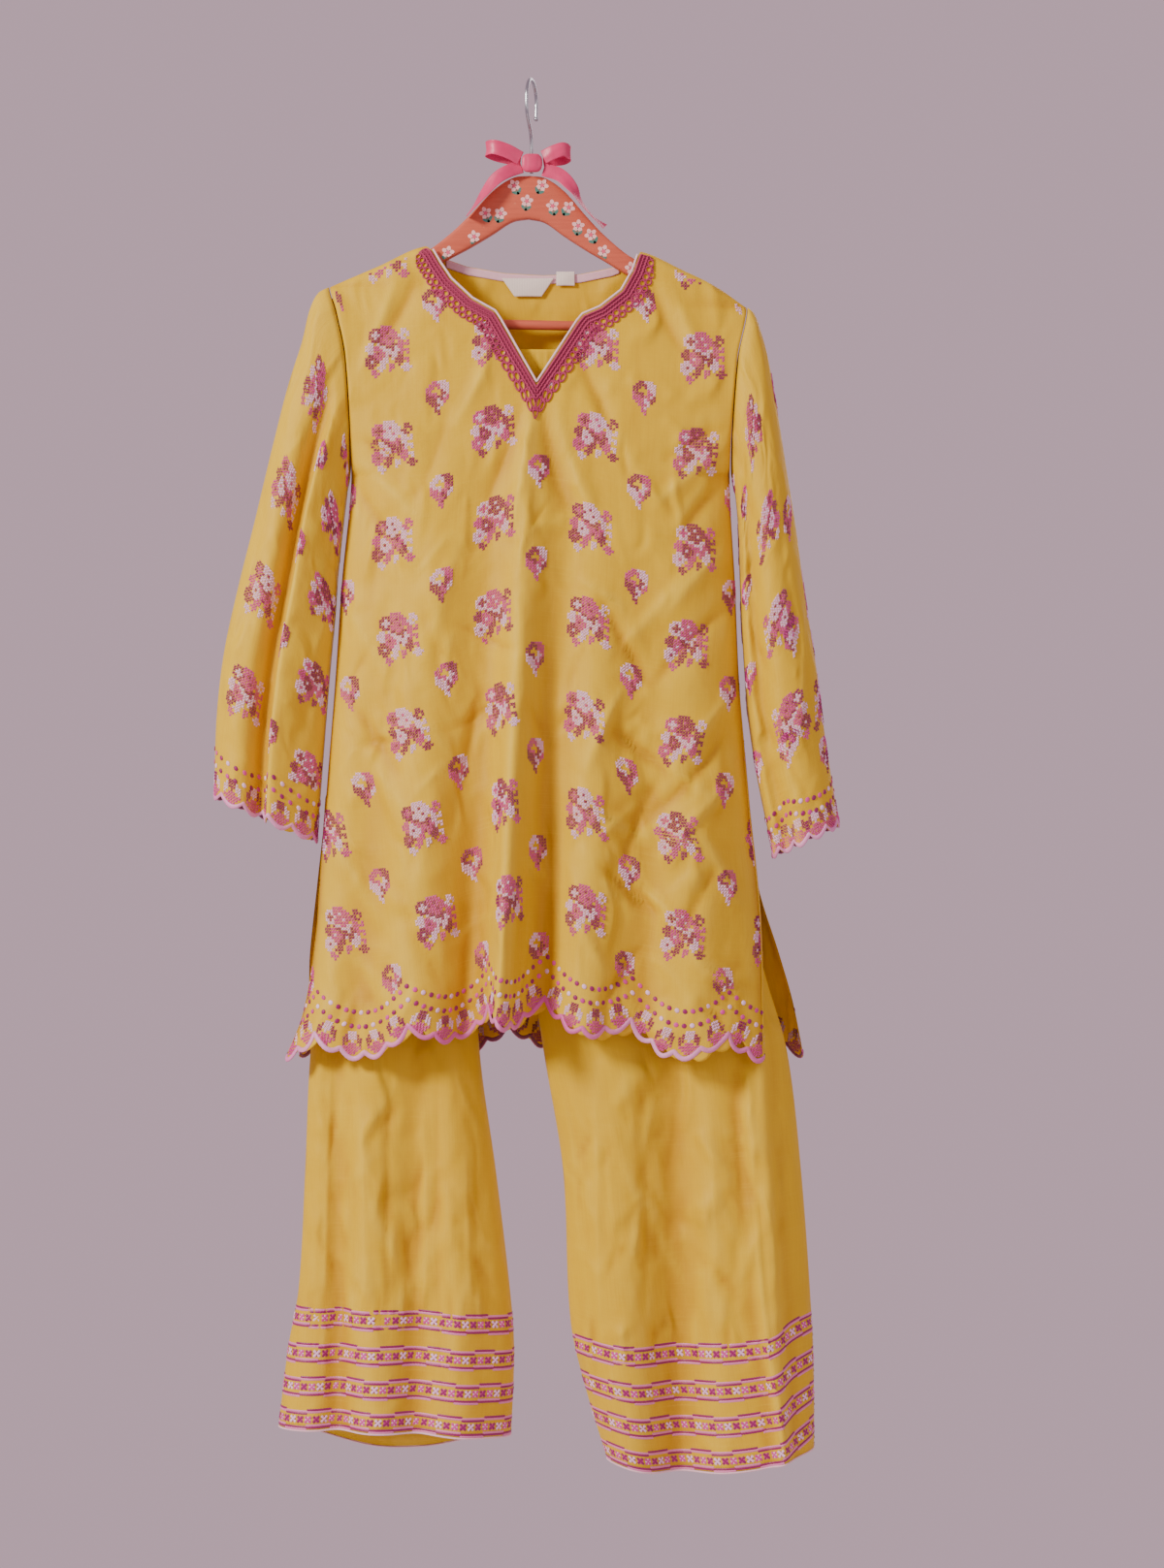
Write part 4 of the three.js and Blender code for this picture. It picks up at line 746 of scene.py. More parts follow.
def sleeve(name, cloth, side):
    """A sleeve's mesh: rings from the armhole to the cuff, whose last rows ease into its scallops."""
    around = 96
    turn = np.linspace(0, 2 * np.pi, around + 1)
    # Rings are evenly spaced along the cloth, and angles along the cuff.
    down = np.linspace(0, 1, 112)[:, None]
    ring = np.interp(down, (cloth.levels - cloth.levels[0]) / np.ptp(cloth.levels), cloth.v)
    arc = cloth.arcs[-1] - cloth.arcs[-1, 0]
    even = np.interp(np.linspace(0, arc[-1], around + 1), arc, cloth.u)
    angle = lerp(turn, even, 0.7 * np.ones_like(down))
    grid = cloth.surface(angle, ring)
    scallop = SCALLOP_DEPTH * (np.abs(np.sin(CUFF_SCALLOPS * np.pi * np.linspace(0, 1, around + 1))) - 0.5)
    grid[..., 2] -= scallop * ease((down - 0.93) / 0.07)
    uv = np.stack([cloth.across(angle, ring), np.broadcast_to(1000 * down * 0.55, angle.shape)], -1)
    centre = grid.mean(1, keepdims=True)
    outward = (grid - centre)[:-1, :-1].reshape(-1, 3)
    piece = skin(name, grid[:, :-1], wrap_columns=True, uv=uv, outward=outward, wall=CLOTH_WALL)
    radial = (grid - centre) / np.linalg.norm(grid - centre, axis=-1, keepdims=True)
    hollow = (hollows(grid, 3) * radial).sum(-1)[:, :-1].ravel()
    piece.data.attributes.new("hollow", "FLOAT", "POINT").data.foreach_set("value", hollow)
    return piece


SLEEVE_ENDS = (0.0, 2 * np.pi)
SLEEVE_ROWS = np.linspace(0, LAST_RING, 90)
left_sleeve_cloth = Cloth(
    sleeve_surface(LEFT_SLEEVE, LEFT_SLEEVE_FOLDS, LEFT_SLEEVE_CREASES),
    SLEEVE_ENDS, SLEEVE_ROWS, np.pi / 2, -1, levels=0.0,
)
right_sleeve_cloth = Cloth(
    sleeve_surface(RIGHT_SLEEVE, RIGHT_SLEEVE_FOLDS, RIGHT_SLEEVE_CREASES),
    SLEEVE_ENDS, SLEEVE_ROWS, np.pi / 2, 1, levels=0.0,
)
sleeve_left = sleeve("sleeve_left_cloth", left_sleeve_cloth, -1)
dress(sleeve_left, yellow_silk, ["sleeve_left"])
sleeve_right = sleeve("sleeve_right_cloth", right_sleeve_cloth, 1)
dress(sleeve_right, yellow_silk, ["sleeve_right"])


# ------------------------------------------------------------------ trousers
# Wide straight trousers of the same cloth, each leg a front and a back panel, gathered on a cased waistband.
# They hang from the hanger's bar inside the kurta and show below its hem. The right leg has a pressed
# crease.

TROUSER_TOP = 250
WAISTBAND = 36
CROTCH_DROP = 560
LEG_HEM = 1260.0
LEG_TOP = 286.3
LEG = "drop outer inner front back"
LEFT_LEG = sizes(LEG, [
    (250, -138, 8, 11, 11), (330, -150, 0, 13, 13), (450, -160, -14, 17, 17), (560, -170, -26, 20, 19),
    (680, -182, -42, 23, 22), (800, -193, -51, 26, 24), (900, -205, -48, 28, 26), (1010, -210, -33, 31, 29),
    (1119, -216, -20, 34, 33), (1176, -226, -16, 36, 37), (1260, -236, -19, 38, 40),
])
RIGHT_LEG = sizes(LEG, [
    (250, 154, 8, 11, 11), (330, 162, 0, 13, 13), (450, 170, -14, 17, 17), (560, 179, -26, 20, 19),
    (680, 190, -16, 24, 22), (760, 199, -7, 27, 24), (830, 217, 1, 29, 26), (900, 237, 11, 32, 28),
    (1010, 250, 29, 36, 31), (1150, 260, 36, 38, 34), (1216, 262, 51, 39, 35), (1290, 262, 74, 39, 36),
])
LEFT_HEM = sizes("share front back", [(0, 1246, 1246), (0.5, 1246, 1276), (1, 1254, 1254)])
RIGHT_HEM = sizes("share front back", [
    (0, 1266, 1266), (0.3, 1280, 1276), (0.75, 1285, 1281), (1, 1276, 1276),
])
LEFT_LEG_FOLDS = sizes(FOLD, [
    (700, -182, -178, -17, 12, 17, 0), (640, -150, -142, 9, 16, 26, 0), (700, -104, -106, -10, 14, 16, 0),
    (640, -82, -62, 8, 14, 20, 0),
])
RIGHT_LEG_FOLDS = sizes(FOLD, [
    (640, 124, 138, -26, 20, 26, 0), (640, 60, 84, 8, 26, 26, 0), (560, 192, 232, 13, 10, 9, 0),
])
BACK_LEG_FOLDS = sizes(FOLD, [(500, -110, -120, 9, 22, 26, 0), (520, 110, 176, 10, 22, 28, 0)])
LEFT_LEG_CREASES = sizes(CREASE, [
    (-184, 900, -190, 1236, 2.2, 6, 2), (-160, 930, -152, 1130, 1.8, 6, -2),
    (-128, 900, -130, 1180, -2.2, 7, 3),
    (-100, 940, -98, 1140, 2.0, 6, -2), (-86, 900, -80, 1220, -2.0, 8, 2), (-60, 960, -52, 1160, 1.8, 7, 2),
    (-150, 1040, -112, 1096, 1.8, 6, 3), (-70, 1070, -34, 1120, -1.6, 6, -3),
    (-200, 1060, -170, 1112, -1.6, 6, 2),
    (-140, 1112, -138, 1152, -1.6, 3.4, 0), (-118, 1106, -116, 1152, 1.6, 3.4, 1),
    (-74, 1112, -72, 1152, -1.6, 3.2, 0),
    (-166, 1116, -165, 1152, 1.5, 3.4, 0), (-48, 1110, -46, 1152, 1.5, 3.4, 0),
    (-190, 1112, -189, 1152, -1.4, 3.2, 0),
])
RIGHT_LEG_CREASES = sizes(CREASE, [
    (198, 905, 206, 1040, 4.5, 9, 0), (206, 1020, 234, 1262, 5.5, 6, 6), (186, 905, 196, 1060, -4.0, 10, 0),
    (60, 905, 66, 1180, 2.2, 9, 3), (100, 910, 104, 1160, -2.4, 8, -3), (36, 920, 46, 1120, 1.8, 7, 2),
    (160, 930, 168, 1160, 2.2, 9, -4), (80, 1000, 130, 1060, 1.8, 7, 4), (150, 1080, 196, 1120, -1.6, 7, 3),
    (56, 1140, 57, 1182, -1.6, 3.4, 0), (84, 1144, 85, 1184, 1.6, 3.4, 0),
    (112, 1142, 113, 1184, -1.6, 3.4, 0),
    (150, 1138, 151, 1180, 1.6, 3.4, 0), (180, 1136, 181, 1176, -1.6, 3.4, 0),
    (74, 1190, 76, 1216, 1.4, 3.2, 0),
])
BACK_LEG_CREASES = sizes(CREASE, [
    (-186, 640, -176, 900, 2.2, 9, 3), (-130, 620, -120, 980, -2.4, 9, -4), (-80, 700, -74, 1100, 2.2, 8, 3),
    (-150, 860, -100, 930, 2.0, 7, 4), (-96, 980, -46, 1040, -1.8, 7, -3),
    (-170, 1040, -150, 1220, 2.0, 8, 2),
    (60, 620, 64, 960, -2.4, 9, 4), (120, 640, 130, 1100, 2.4, 9, -4), (180, 700, 200, 1180, -2.2, 9, 4),
    (60, 880, 116, 950, 2.0, 7, -4), (140, 980, 200, 1046, -2.0, 7, 3), (90, 1060, 84, 1240, 2.0, 8, 3),
    (210, 900, 236, 1230, 2.6, 8, 4), (-60, 1110, -58, 1152, 1.6, 3.4, 0),
    (-120, 1110, -119, 1152, -1.6, 3.4, 0),
    (110, 1140, 111, 1182, 1.6, 3.4, 0), (170, 1140, 171, 1180, -1.6, 3.4, 0),
])


def leg_surface(leg, hem, folds, creases, face):
    """The surface of a trouser panel as a function of the share from its side seam to its inner edge, and
    of the level, which is the drop down to the crotch and then runs to the hem."""
    side = np.sign(leg["outer"][0])
    depth_name = "front" if face < 0 else "back"

    def surface(share, level):
        share, level = np.broadcast_arrays(np.asarray(share, float), np.asarray(level, float))
        share = np.clip(share, 0, 1)
        bottom = smooth(hem, "share", depth_name, share)
        fall = (level - CROTCH_DROP) / (LEG_HEM - CROTCH_DROP)
        drop = np.where(level < CROTCH_DROP, level, lerp(CROTCH_DROP, bottom, fall))
        inner_low = smooth(leg, "drop", "inner", drop)
        inner = np.where(drop > CROTCH_DROP, inner_low, smooth(LEFT_LEG, "drop", "inner", drop))
        x = lerp(smooth(leg, "drop", "outer", drop), inner + side * HALF_SEAM, share)
        depth = smooth(leg, "drop", depth_name, drop)
        curve = np.clip((drop - (CROTCH_DROP - 90)) / 90, 0, 1)
        seam = np.where(share > 0.5, depth * np.sqrt(1 - curve**2), 0)
        turned = np.abs(2 * share - 1)
        rounded = np.sqrt(np.maximum(1 - turned**3, 0))
        fold, _ = hanging_folds(folds, x, drop, LEG_HEM)
        off_ends = np.clip((1 - np.abs(fall - 0.5) * 2) * 30, 0.3, 1)
        crease = creased(creases, x, drop) * (1 - turned**12) * off_ends
        stand = lerp(seam, depth, rounded) + fold * (1 - turned**6) + crease
        return np.stack([x, face * (HALF_SEAM + np.maximum(stand, 0)), -drop], -1)

    return surface


def leg_panel(name, cloth, face, columns, rows):
    """A trouser panel's mesh: columns closer together at its two edges, where the leg turns round."""
    share = (1 - np.cos(np.pi * np.linspace(0, 1, columns + 1))) / 2
    hip = np.linspace(LEG_TOP, CROTCH_DROP, rows // 4)[:-1]
    level = np.concatenate([hip, np.linspace(CROTCH_DROP, LEG_HEM, rows)])[:, None]
    grid = cloth.surface(share, level)
    uv = np.stack([cloth.across(share, level), np.broadcast_to(level, grid.shape[:2])], -1)
    piece = skin(name, grid, uv=uv, outward=(0, face, 0), wall=CLOTH_WALL)
    hollow = (hollows(grid, 4) @ np.array([0, face, 0.0])).ravel()
    piece.data.attributes.new("hollow", "FLOAT", "POINT").data.foreach_set("value", hollow)
    return piece


LEG_LEVELS = np.linspace(LEG_TOP, LEG_HEM + 4, 150)
LEFT_LEG_CREASES = with_fine_creases(LEFT_LEG_CREASES, 7, 44, (-210, -30), (890, 1130))
RIGHT_LEG_CREASES = with_fine_creases(RIGHT_LEG_CREASES, 8, 50, (30, 250), (890, 1150))
BACK_LEG_CREASES = with_fine_creases(BACK_LEG_CREASES, 9, 60, (-210, 240), (600, 1140))
leg_cloths = {}
leg_pieces = {}
for leg_name, leg, hem, front_folds, front_creases in [
    ("left", LEFT_LEG, LEFT_HEM, LEFT_LEG_FOLDS, LEFT_LEG_CREASES),
    ("right", RIGHT_LEG, RIGHT_HEM, RIGHT_LEG_FOLDS, RIGHT_LEG_CREASES),
]:
    out_side = int(np.sign(leg["outer"][0]))
    for part, face, folds, creases, columns, rows in [
        ("front", -1, front_folds, front_creases, 116, 92),
        ("back", 1, BACK_LEG_FOLDS, BACK_LEG_CREASES, 68, 76),
    ]:
        key = f"{leg_name}_{part}"
        surface = leg_surface(leg, hem, folds, creases, face)
        leg_cloths[key] = Cloth(surface, (0.0, 1.0), LEG_LEVELS, 0.5, -out_side * face)
        leg_pieces[key] = leg_panel(f"trouser_{key}_cloth", leg_cloths[key], face, columns, rows)
        dress(leg_pieces[key], yellow_silk, [f"trouser_{key}"])


def waistband(name, face):
    """A waistband panel: a flat oval in plan, with fine upright gathers and a channel stitched along its
    top."""
    turned = np.pi * np.linspace(0, 1, 181)
    x = lerp(LEFT_LEG["outer"][0] - 3, RIGHT_LEG["outer"][0] + 3, (1 - np.cos(turned)) / 2)
    edge = 1 - np.clip(1 - np.abs((x - 8) / 149.01), 0, 1)
    depth = 11.5 * np.sqrt(np.clip(1 - edge**6, 0, 1))
    down = np.linspace(0, 1, 15)[:, None]
    waves = 0.9 * np.sin(x * 0.9 + 1.3 * np.sin(x * 0.13))
    gather = waves * np.sin(np.pi * down) ** 0.5 * np.clip(depth / 4, 0, 1)
    channel = -0.5 * np.exp(-(((down - 0.75) / 0.06) ** 2))
    y = face * (HALF_SEAM + np.maximum(depth + gather + channel * np.clip(depth, 0, 1) - 0.5, 0))
    drop = TROUSER_TOP + WAISTBAND * down
    grid = np.stack(np.broadcast_arrays(x, y, -drop), -1)
    uv = np.stack(np.broadcast_arrays(x, drop), -1)
    piece = skin(name, grid, uv=uv, outward=(0, face, 0), wall=CLOTH_WALL)
    hollow = piece.data.attributes.new("hollow", "FLOAT", "POINT")
    hollow.data.foreach_set("value", np.zeros(grid[..., 0].size))
    return piece


waist_front = dress(waistband("waistband_front_cloth", -1), yellow_silk, ["waistband_front"])
waist_back = dress(waistband("waistband_back_cloth", 1), yellow_silk, ["waistband_back"])

# ------------------------------------------------------------------ embroidery on the kurta
# Posies and rosebuds in cross-stitch, in three pinks that change places from motif to motif. Each stitch is
# two crossed bars of thread that lie on the cloth, raised along their middles.

CROSS = 2.75  # from one cross to the next
THREADS = np.array([linear(148, 6, 98), linear(216, 62, 154), linear(255, 206, 240), linear(234, 134, 184)])
COLOURWAYS = np.array([(0, 1, 2), (2, 0, 1), (1, 2, 0), (2, 1, 0), (0, 2, 1), (1, 0, 2)])
POSY = [
    ".....bbbb.......",
    "..aaabbbbb..cc..",
    ".aacabbabbb.ccc.",
    ".acccabbbbbcc.c.",
    ".aacabbbabbbcc..",
    "..aaabbbbb.bb.b.",
    ".cc.caabbaabbbb.",
    "cccbbccaaacbb...",
    "cccbbbcccaccbbb.",
    ".ccbabbccccab.b.",
    ".aabbbbcaccaa...",
    "aaaabbcc.caaabb.",
    "aacaaccc..aaa.b.",
    "aaaa.cc.bb.a.cc.",
    ".aa.ccc.bb..cccc",
    "..bb.c..b....cc.",
    "..bbb...........",
    "...b............",
]
ROSEBUD = [
    "..ccbbb.",
    ".ccccbbb",
    "ccc.cbbb",
    "cc...abb",
    "accc.aab",
    "aaacaabc",
    "aaaabacc",
    ".aaabbc.",
    "..aaab..",
    "...ab...",
    "...aa...",
    "....a...",
]
HEM_FLOWER = [
    "..aaa..",
    ".caaac.",
    "ccaaacc",
    "cc.a.cc",
    "c.bbb.c",
    "bbbbbbb",
    ".bbbbb.",
    "..bbb..",
]


def chart(rows):
    """The crosses of a chart: how far each is across and down from its middle, in crosses, and its thread."""
    found = [
        (c, r, "abc".index(mark))
        for r, row in enumerate(rows) for c, mark in enumerate(row) if mark != "."
    ]
    table = np.array(found, float)
    table[:, :2] -= (np.array([len(rows[0]), len(rows)]) - 1) / 2
    return table


def laid_out(rows, places):
    """A chart repeated at places of (s, level, colourway, turn): the s, level and thread of every cross."""
    crosses = chart(rows)
    places = np.asarray(places, float)[:, None, :]
    cos, sin = np.cos(places[..., 3]), np.sin(places[..., 3])
    s = places[..., 0] + CROSS * (crosses[:, 0] * cos - crosses[:, 1] * sin)
    level = places[..., 1] + CROSS * (crosses[:, 0] * sin + crosses[:, 1] * cos)
    thread = COLOURWAYS[places[..., 2].astype(int) % len(COLOURWAYS), crosses[:, 2].astype(int)]
    return np.stack([s.ravel(), level.ravel(), thread.ravel()], -1)


def bars(cloth, s, level, turn, length, width, height, lift, inside=False):
    """Bars of thread laid on the cloth at a turn: a low tent of two long sides and two ends over four
    corners. Returns the corners as an array of (bars, 6, 3)."""
    here, across, along, out = cloth.frame(s, level)
    if inside:
        out = -out
        here = here + out * CLOTH_WALL
    cos, sin = np.cos(turn)[:, None], np.sin(turn)[:, None]
    run = across * cos + along * sin
    wide = along * cos - across * sin
    half, edge, lift = (np.broadcast_to(v, np.shape(s))[:, None] for v in (length / 2, width / 2, lift))
    low = here + out * lift
    high = here + out * (lift + height)
    return np.stack([
        low - run * half - wide * edge, low - run * half + wide * edge,
        low + run * half - wide * edge, low + run * half + wide * edge,
        high - run * half * 0.62, high + run * half * 0.62,
    ], 1)


def thread_mesh(name, corners, colours):
    """One mesh of thread bars, each with its own colour, which is kept as an attribute of its corners."""
    count = len(corners)
    sides = np.array([(0, 2, 5, 4), (3, 1, 4, 5)])
    ends = np.array([(1, 0, 4), (2, 3, 5)])
    starts = (6 * np.arange(count))[:, None, None]
    faces = (sides[None] + starts).reshape(-1, 4).tolist() + (ends[None] + starts).reshape(-1, 3).tolist()
    mesh = bpy.data.meshes.new(name)
    mesh.from_pydata((corners.reshape(-1, 3) * MM).tolist(), [], faces)
    layer = mesh.attributes.new("thread", "FLOAT_COLOR", "POINT")
    layer.data.foreach_set("color", np.repeat(colours, 6, 0).ravel())
    piece = bpy.data.objects.new(name, mesh)
    scene.collection.objects.link(piece)
    return piece


def outward_turned(piece, corners):
    """Turns the bars' faces over where the cloth's directions run left-handed, so that they all face out."""
    first = corners[0]
    normal = np.cross(first[2] - first[0], first[5] - first[0])
    up = first[4] - (first[0] + first[1]) / 2
    ridge = up - (first[2] - first[0]) * 0.19
    if normal @ ridge < 0:
        piece.data.flip_normals()
    return piece


def cross_stitch(name, cloth, stitches, inside=False, dark=1.0):
    """Crosses at (s, level, thread): two bars each, the second laid over the first. Their colours are scaled
    by dark, as painted shade.
    """
    s, level, thread = np.asarray(stitches).T
    rng = np.random.default_rng(len(stitches))
    s = s + rng.normal(0, 0.09, len(s))
    level = level + rng.normal(0, 0.09, len(s))
    turn = np.full(len(s), np.pi / 4) + rng.normal(0, 0.06, len(s))
    size = CROSS * 1.2
    under = bars(cloth, s, level, turn, size, 0.95, 0.42, 0.05, inside)
    over = bars(cloth, s, level, -turn, size, 0.95, 0.42, 0.3, inside)
    corners = np.concatenate([under, over])
    tone = np.concatenate([rng.uniform(0.8, 1.12, len(s)), rng.uniform(0.9, 1.18, len(s))])[:, None]
    # Each cross's tone differs at random, and dark dims it further as painted shade.
    shade = np.hstack([np.repeat(tone * dark, 3, 1), tone * 0 + 1])
    colours = THREADS[np.tile(thread.astype(int), 2)] * shade
    return outward_turned(thread_mesh(name, corners, np.clip(colours, 0, 1)), corners)


def stranded_cotton(name):
    """Stranded embroidery thread: it takes its colour from the thread attribute, with fine strands in its
    bump."""
    thread = Finish(name)
    tint = thread.node("ShaderNodeAttribute", {"attribute_name": "thread"})
    place = thread.node("ShaderNodeTexCoord", None, None, 3)
    strands = thread.noise(place, 1400.0, 2.0)
    shade = thread.mix(thread.levels(strands, 0.3, 0.7, 0.0, 0.22), tint, linear(110, 14, 62))
    sockets = {
        "Base Color": shade, "Roughness": thread.levels(strands, 0.3, 0.7, 0.42, 0.6),
        "Normal": thread.bump(strands, 0.4, 0.0002), "Sheen Weight": 0.1,
    }
    return thread.surface(sockets)


pink_thread = stranded_cotton("pink_stranded_thread")

COLUMN = 97.0
ROW = 89.3
FIRST_ROW = 257.0


def lattice(reach):
    """Places of the posies, and of the rosebuds midway between them, with colourways that change each
    time."""
    across = np.arange(-3, 3)
    down = np.arange(-1, 7)
    posies = [
        (
            (c + 0.5) * COLUMN + 4 + 2 * ((r + c) % 2),
            FIRST_ROW + ROW * r + 3 * np.sign(c + 0.5),
            (2 * r + 3 * c) % 6,
            0,
        )
        for c in across
        for r in down
        if abs((c + 0.5) * COLUMN) < reach and (abs(c + 0.5) < 2 or r > 4 or c > 0)
    ]
    buds = [
        (c * COLUMN, FIRST_ROW + ROW * (r + 0.5), (r + 2 * c) % 6, 0)
        for c in np.arange(-3, 4) for r in np.arange(-1, 7) if abs(c * COLUMN) < reach
    ]
    return posies, buds


def kept_on(cloth, face, sides, neck, stitches, edge=4.0):
    """The stitches that lie on a body panel: below its top edge, inside its sides and above its border."""
    u, v = cloth.places(stitches[:, 0], stitches[:, 1])
    row_width = cloth.across(np.full(len(u), 1.0), v), cloth.across(np.full(len(u), -1.0), v)
    on = (stitches[:, 0] < row_width[0] - edge) & (stitches[:, 0] > row_width[1] + edge)
    return stitches[on & (stitches[:, 1] > top_level(face, sides, neck, u) + 5)]


def wave_level(s, scallop_width):
    """The level of the hem's big waves at a length across the panel."""
    return HEM_DROP + WAVE_DEPTH * (np.abs(np.sin(np.pi * (s / scallop_width + 10) / SCALLOPS_PER_WAVE)) - 1)


def border_flowers(scallop_width, count, level_of, up):
    """Places of the border's flowers, one in each small scallop, leaning with the wave that they stand on."""
    s = (np.arange(count) + 0.5 - count / 2) * scallop_width
    slope = (level_of(s + 3) - level_of(s - 3)) / 6
    way = np.where((np.arange(count) + 2) // 4 % 2, 3, 0)
    return np.stack([s, level_of(s) - up, way, 0.6 * np.arctan(slope)], -1)


BORDER_UP = 12.5
BODY_REACH = 300
for name, cloth, face, sides, neck in [
    ("front", front_cloth, -1, FRONT_SIDES, NECK), ("back", back_cloth, 1, BACK_SIDES, BACK_NECK),
]:
    hem_width = np.ptp(cloth.arcs[np.searchsorted(cloth.v, HEM_DROP)])
    scallop_width = hem_width / SCALLOPS
    centre = (cloth.arcs[np.searchsorted(cloth.v, HEM_DROP)][[0, -1]]).mean()
    posies, buds = lattice(BODY_REACH)
    stitches = np.concatenate([laid_out(POSY, posies), laid_out(ROSEBUD, buds)])
    limit = wave_level(stitches[:, 0] - centre, scallop_width) - 46
    stitches = stitches[stitches[:, 1] < limit]
    flowers = border_flowers(scallop_width, SCALLOPS, lambda s: wave_level(s, scallop_width), BORDER_UP)
    flowers[:, 0] += centre
    border = laid_out(HEM_FLOWER, flowers)
    stitches = kept_on(cloth, face, sides, neck, stitches)
    border = kept_on(cloth, face, sides, neck, border, 1.0)
    stitches = np.concatenate([stitches, border])
    dress(cross_stitch(f"embroidery_{name}", cloth, stitches), pink_thread)
    if name == "back":
        # The wrong side of the border, seen inside the back, is dimmed to half as painted shade.
        wrong_side = kept_on(cloth, face, sides, neck, border, 1.0)
        dress(cross_stitch("embroidery_back_inside", cloth, wrong_side, True, 0.5), pink_thread)

SLEEVE_FIRST_ROW = 48.0


def round_sleeve(cloth, stitches, edge):
    """Stitches brought back round the sleeve where they pass its outer fold, and kept off its two ends."""
    _, v = cloth.places(stitches[:, 0], stitches[:, 1])
    start = cloth.across(np.zeros(len(v)), v)
    girth = cloth.across(np.full(len(v), 2 * np.pi), v) - start
    s = start + (stitches[:, 0] - start) % girth
    kept = (stitches[:, 1] > 9) & (stitches[:, 1] < edge) & (s - start < girth - 3) & (s - start > 3)
    return np.column_stack([s, stitches[:, 1:]])[kept]


def cuff_wave(cloth, s):
    """The level of the cuff's border by the length round it: three big waves, half as deep as the hem's."""
    start, end = cloth.arcs[-1, 0], cloth.arcs[-1, -1]
    turn = (s - start) / (end - start)
    return cloth.levels[-1] + 0.5 * WAVE_DEPTH * (np.abs(np.sin(3 * np.pi * turn)) - 0.65)


for name, cloth, middle in [("left", left_sleeve_cloth, -30.0), ("right", right_sleeve_cloth, -2.0)]:
    columns = np.arange(3)
    down = np.arange(6)
    posies = [
        (middle + COLUMN * c, SLEEVE_FIRST_ROW + ROW * (r - 0.5 * (c % 2)), (2 * r + c) % 6, 0.12)
        for c in columns for r in down
    ]
    buds = [(s + COLUMN / 2, level + ROW / 4, way + 1, turned) for s, level, way, turned in posies]
    buds += [(s, level + ROW / 2, way + 2, turned) for s, level, way, turned in posies[-6:]]
    stitches = np.concatenate([laid_out(POSY, posies), laid_out(ROSEBUD, buds)])
    stitches = round_sleeve(cloth, stitches, cloth.levels[-1] - 46)
    round_cuff = np.linspace(cloth.arcs[-1, 0], cloth.arcs[-1, -1], CUFF_SCALLOPS + 1)
    middle = (round_cuff[1:] + round_cuff[:-1]) / 2
    way = np.where(np.arange(CUFF_SCALLOPS) // 2 % 2, 3, 0)
    flowers = np.stack([middle, np.full(CUFF_SCALLOPS, cloth.levels[-1] - 11.0), way, 0 * middle], -1)
    border = round_sleeve(cloth, laid_out(HEM_FLOWER, flowers), cloth.levels[-1])
    piece = cross_stitch(f"embroidery_sleeve_{name}", cloth, np.concatenate([stitches, border]))
    dress(piece, pink_thread)

# ------------------------------------------------------------------ borders of the hems and cuffs
# Two rows of satin-stitched dots follow the big waves, and a thick satin-stitched edge follows the scallops.

DOT_ROWS = (41.5, 28.5)
DOT_RADIUS = 2.4
DOT_COLOURS = np.array([0, 1, 0, 2, 0, 1, 0, 1, 2, 0, 1, 0, 2])


def satin_dots(name, cloth, s, level, thread):
    """Round dots of satin stitch: low domes of two rings closed at the top, each a little uneven in its
    colour."""
    here, across, along, out = cloth.frame(s, level)
    turn = np.linspace(0, 2 * np.pi, 9)[:-1]
    ring = np.array([(1.0, 0.05), (0.86, 0.55), (0.45, 0.85)])
    flat = across[:, None, None] * np.cos(turn)[:, None] + along[:, None, None] * np.sin(turn)[:, None]
    spread = flat * (DOT_RADIUS * ring[:, :1])[None, :, None]
    grid = here[:, None, None] + spread + out[:, None, None] * ring[:, 1:][None, :, None]
    piece = skin(name, grid, wrap_columns=True, caps=True)
    tone = np.random.default_rng(7).uniform(0.85, 1.15, (len(s), 1))
    colours = np.clip(THREADS[thread] * np.hstack([tone, tone, tone, tone * 0 + 1]), 0, 1)
    layer = piece.data.attributes.new("thread", "FLOAT_COLOR", "POINT")
    layer.data.foreach_set("color", np.repeat(colours, 24, 0).ravel())
    return piece


def tube(path, wide, high, half_wide, half_high, sides=8):
    """A grid of rings along a path: each ring is an oval of two half-widths across two directions."""
    a = np.linspace(0, 2 * np.pi, sides, endpoint=False)
    half_wide = np.broadcast_to(half_wide, path.shape[:-1])[..., None, None]
    half_high = np.broadcast_to(half_high, path.shape[:-1])[..., None, None]
    sideways = wide[..., None, :] * half_wide * np.cos(a)[:, None]
    upwards = high[..., None, :] * half_high * np.sin(a)[:, None]
    oval = sideways + upwards
    return path[..., None, :] + oval


def satin_edge(name, cloth, s, level, closed=False):
    """The stitched edge: an oval cord along the scallops, ribbed by its stitches, whose pink drifts along
    it, and which is darkened, as painted shade, on the side that faces into the cloth."""
    here, _, _, out = cloth.frame(s, level)
    run = np.gradient(here, axis=0)
    wide = np.cross(run, out)
    wide /= np.linalg.norm(wide, axis=-1, keepdims=True) + 1e-9
    rib = 1 + 0.1 * (np.arange(len(s)) % 2)
    grid = tube(here, wide, out, 2.2 * rib, 1.0 * rib)
    piece = skin(name, grid, wrap_rows=closed, wrap_columns=True, caps=not closed)
    drift = 0.5 + 0.5 * np.sin(np.arange(len(s)) * 0.031) * np.sin(np.arange(len(s)) * 0.0113 + 1)
    colours = lerp(THREADS[1], THREADS[2], np.clip(drift, 0, 1)[:, None] * 0.6)
    layer = piece.data.attributes.new("thread", "FLOAT_COLOR", "POINT")
    # Painted shade: the three corners of each ring that face into the cloth keep 0.3 of its colour.
    inner = np.array([1, 1, 1, 1, 1, 0.3, 0.3, 0.3])[None, :, None]
    layer.data.foreach_set("color", (colours[:, None, :] * inner).ravel())
    return piece


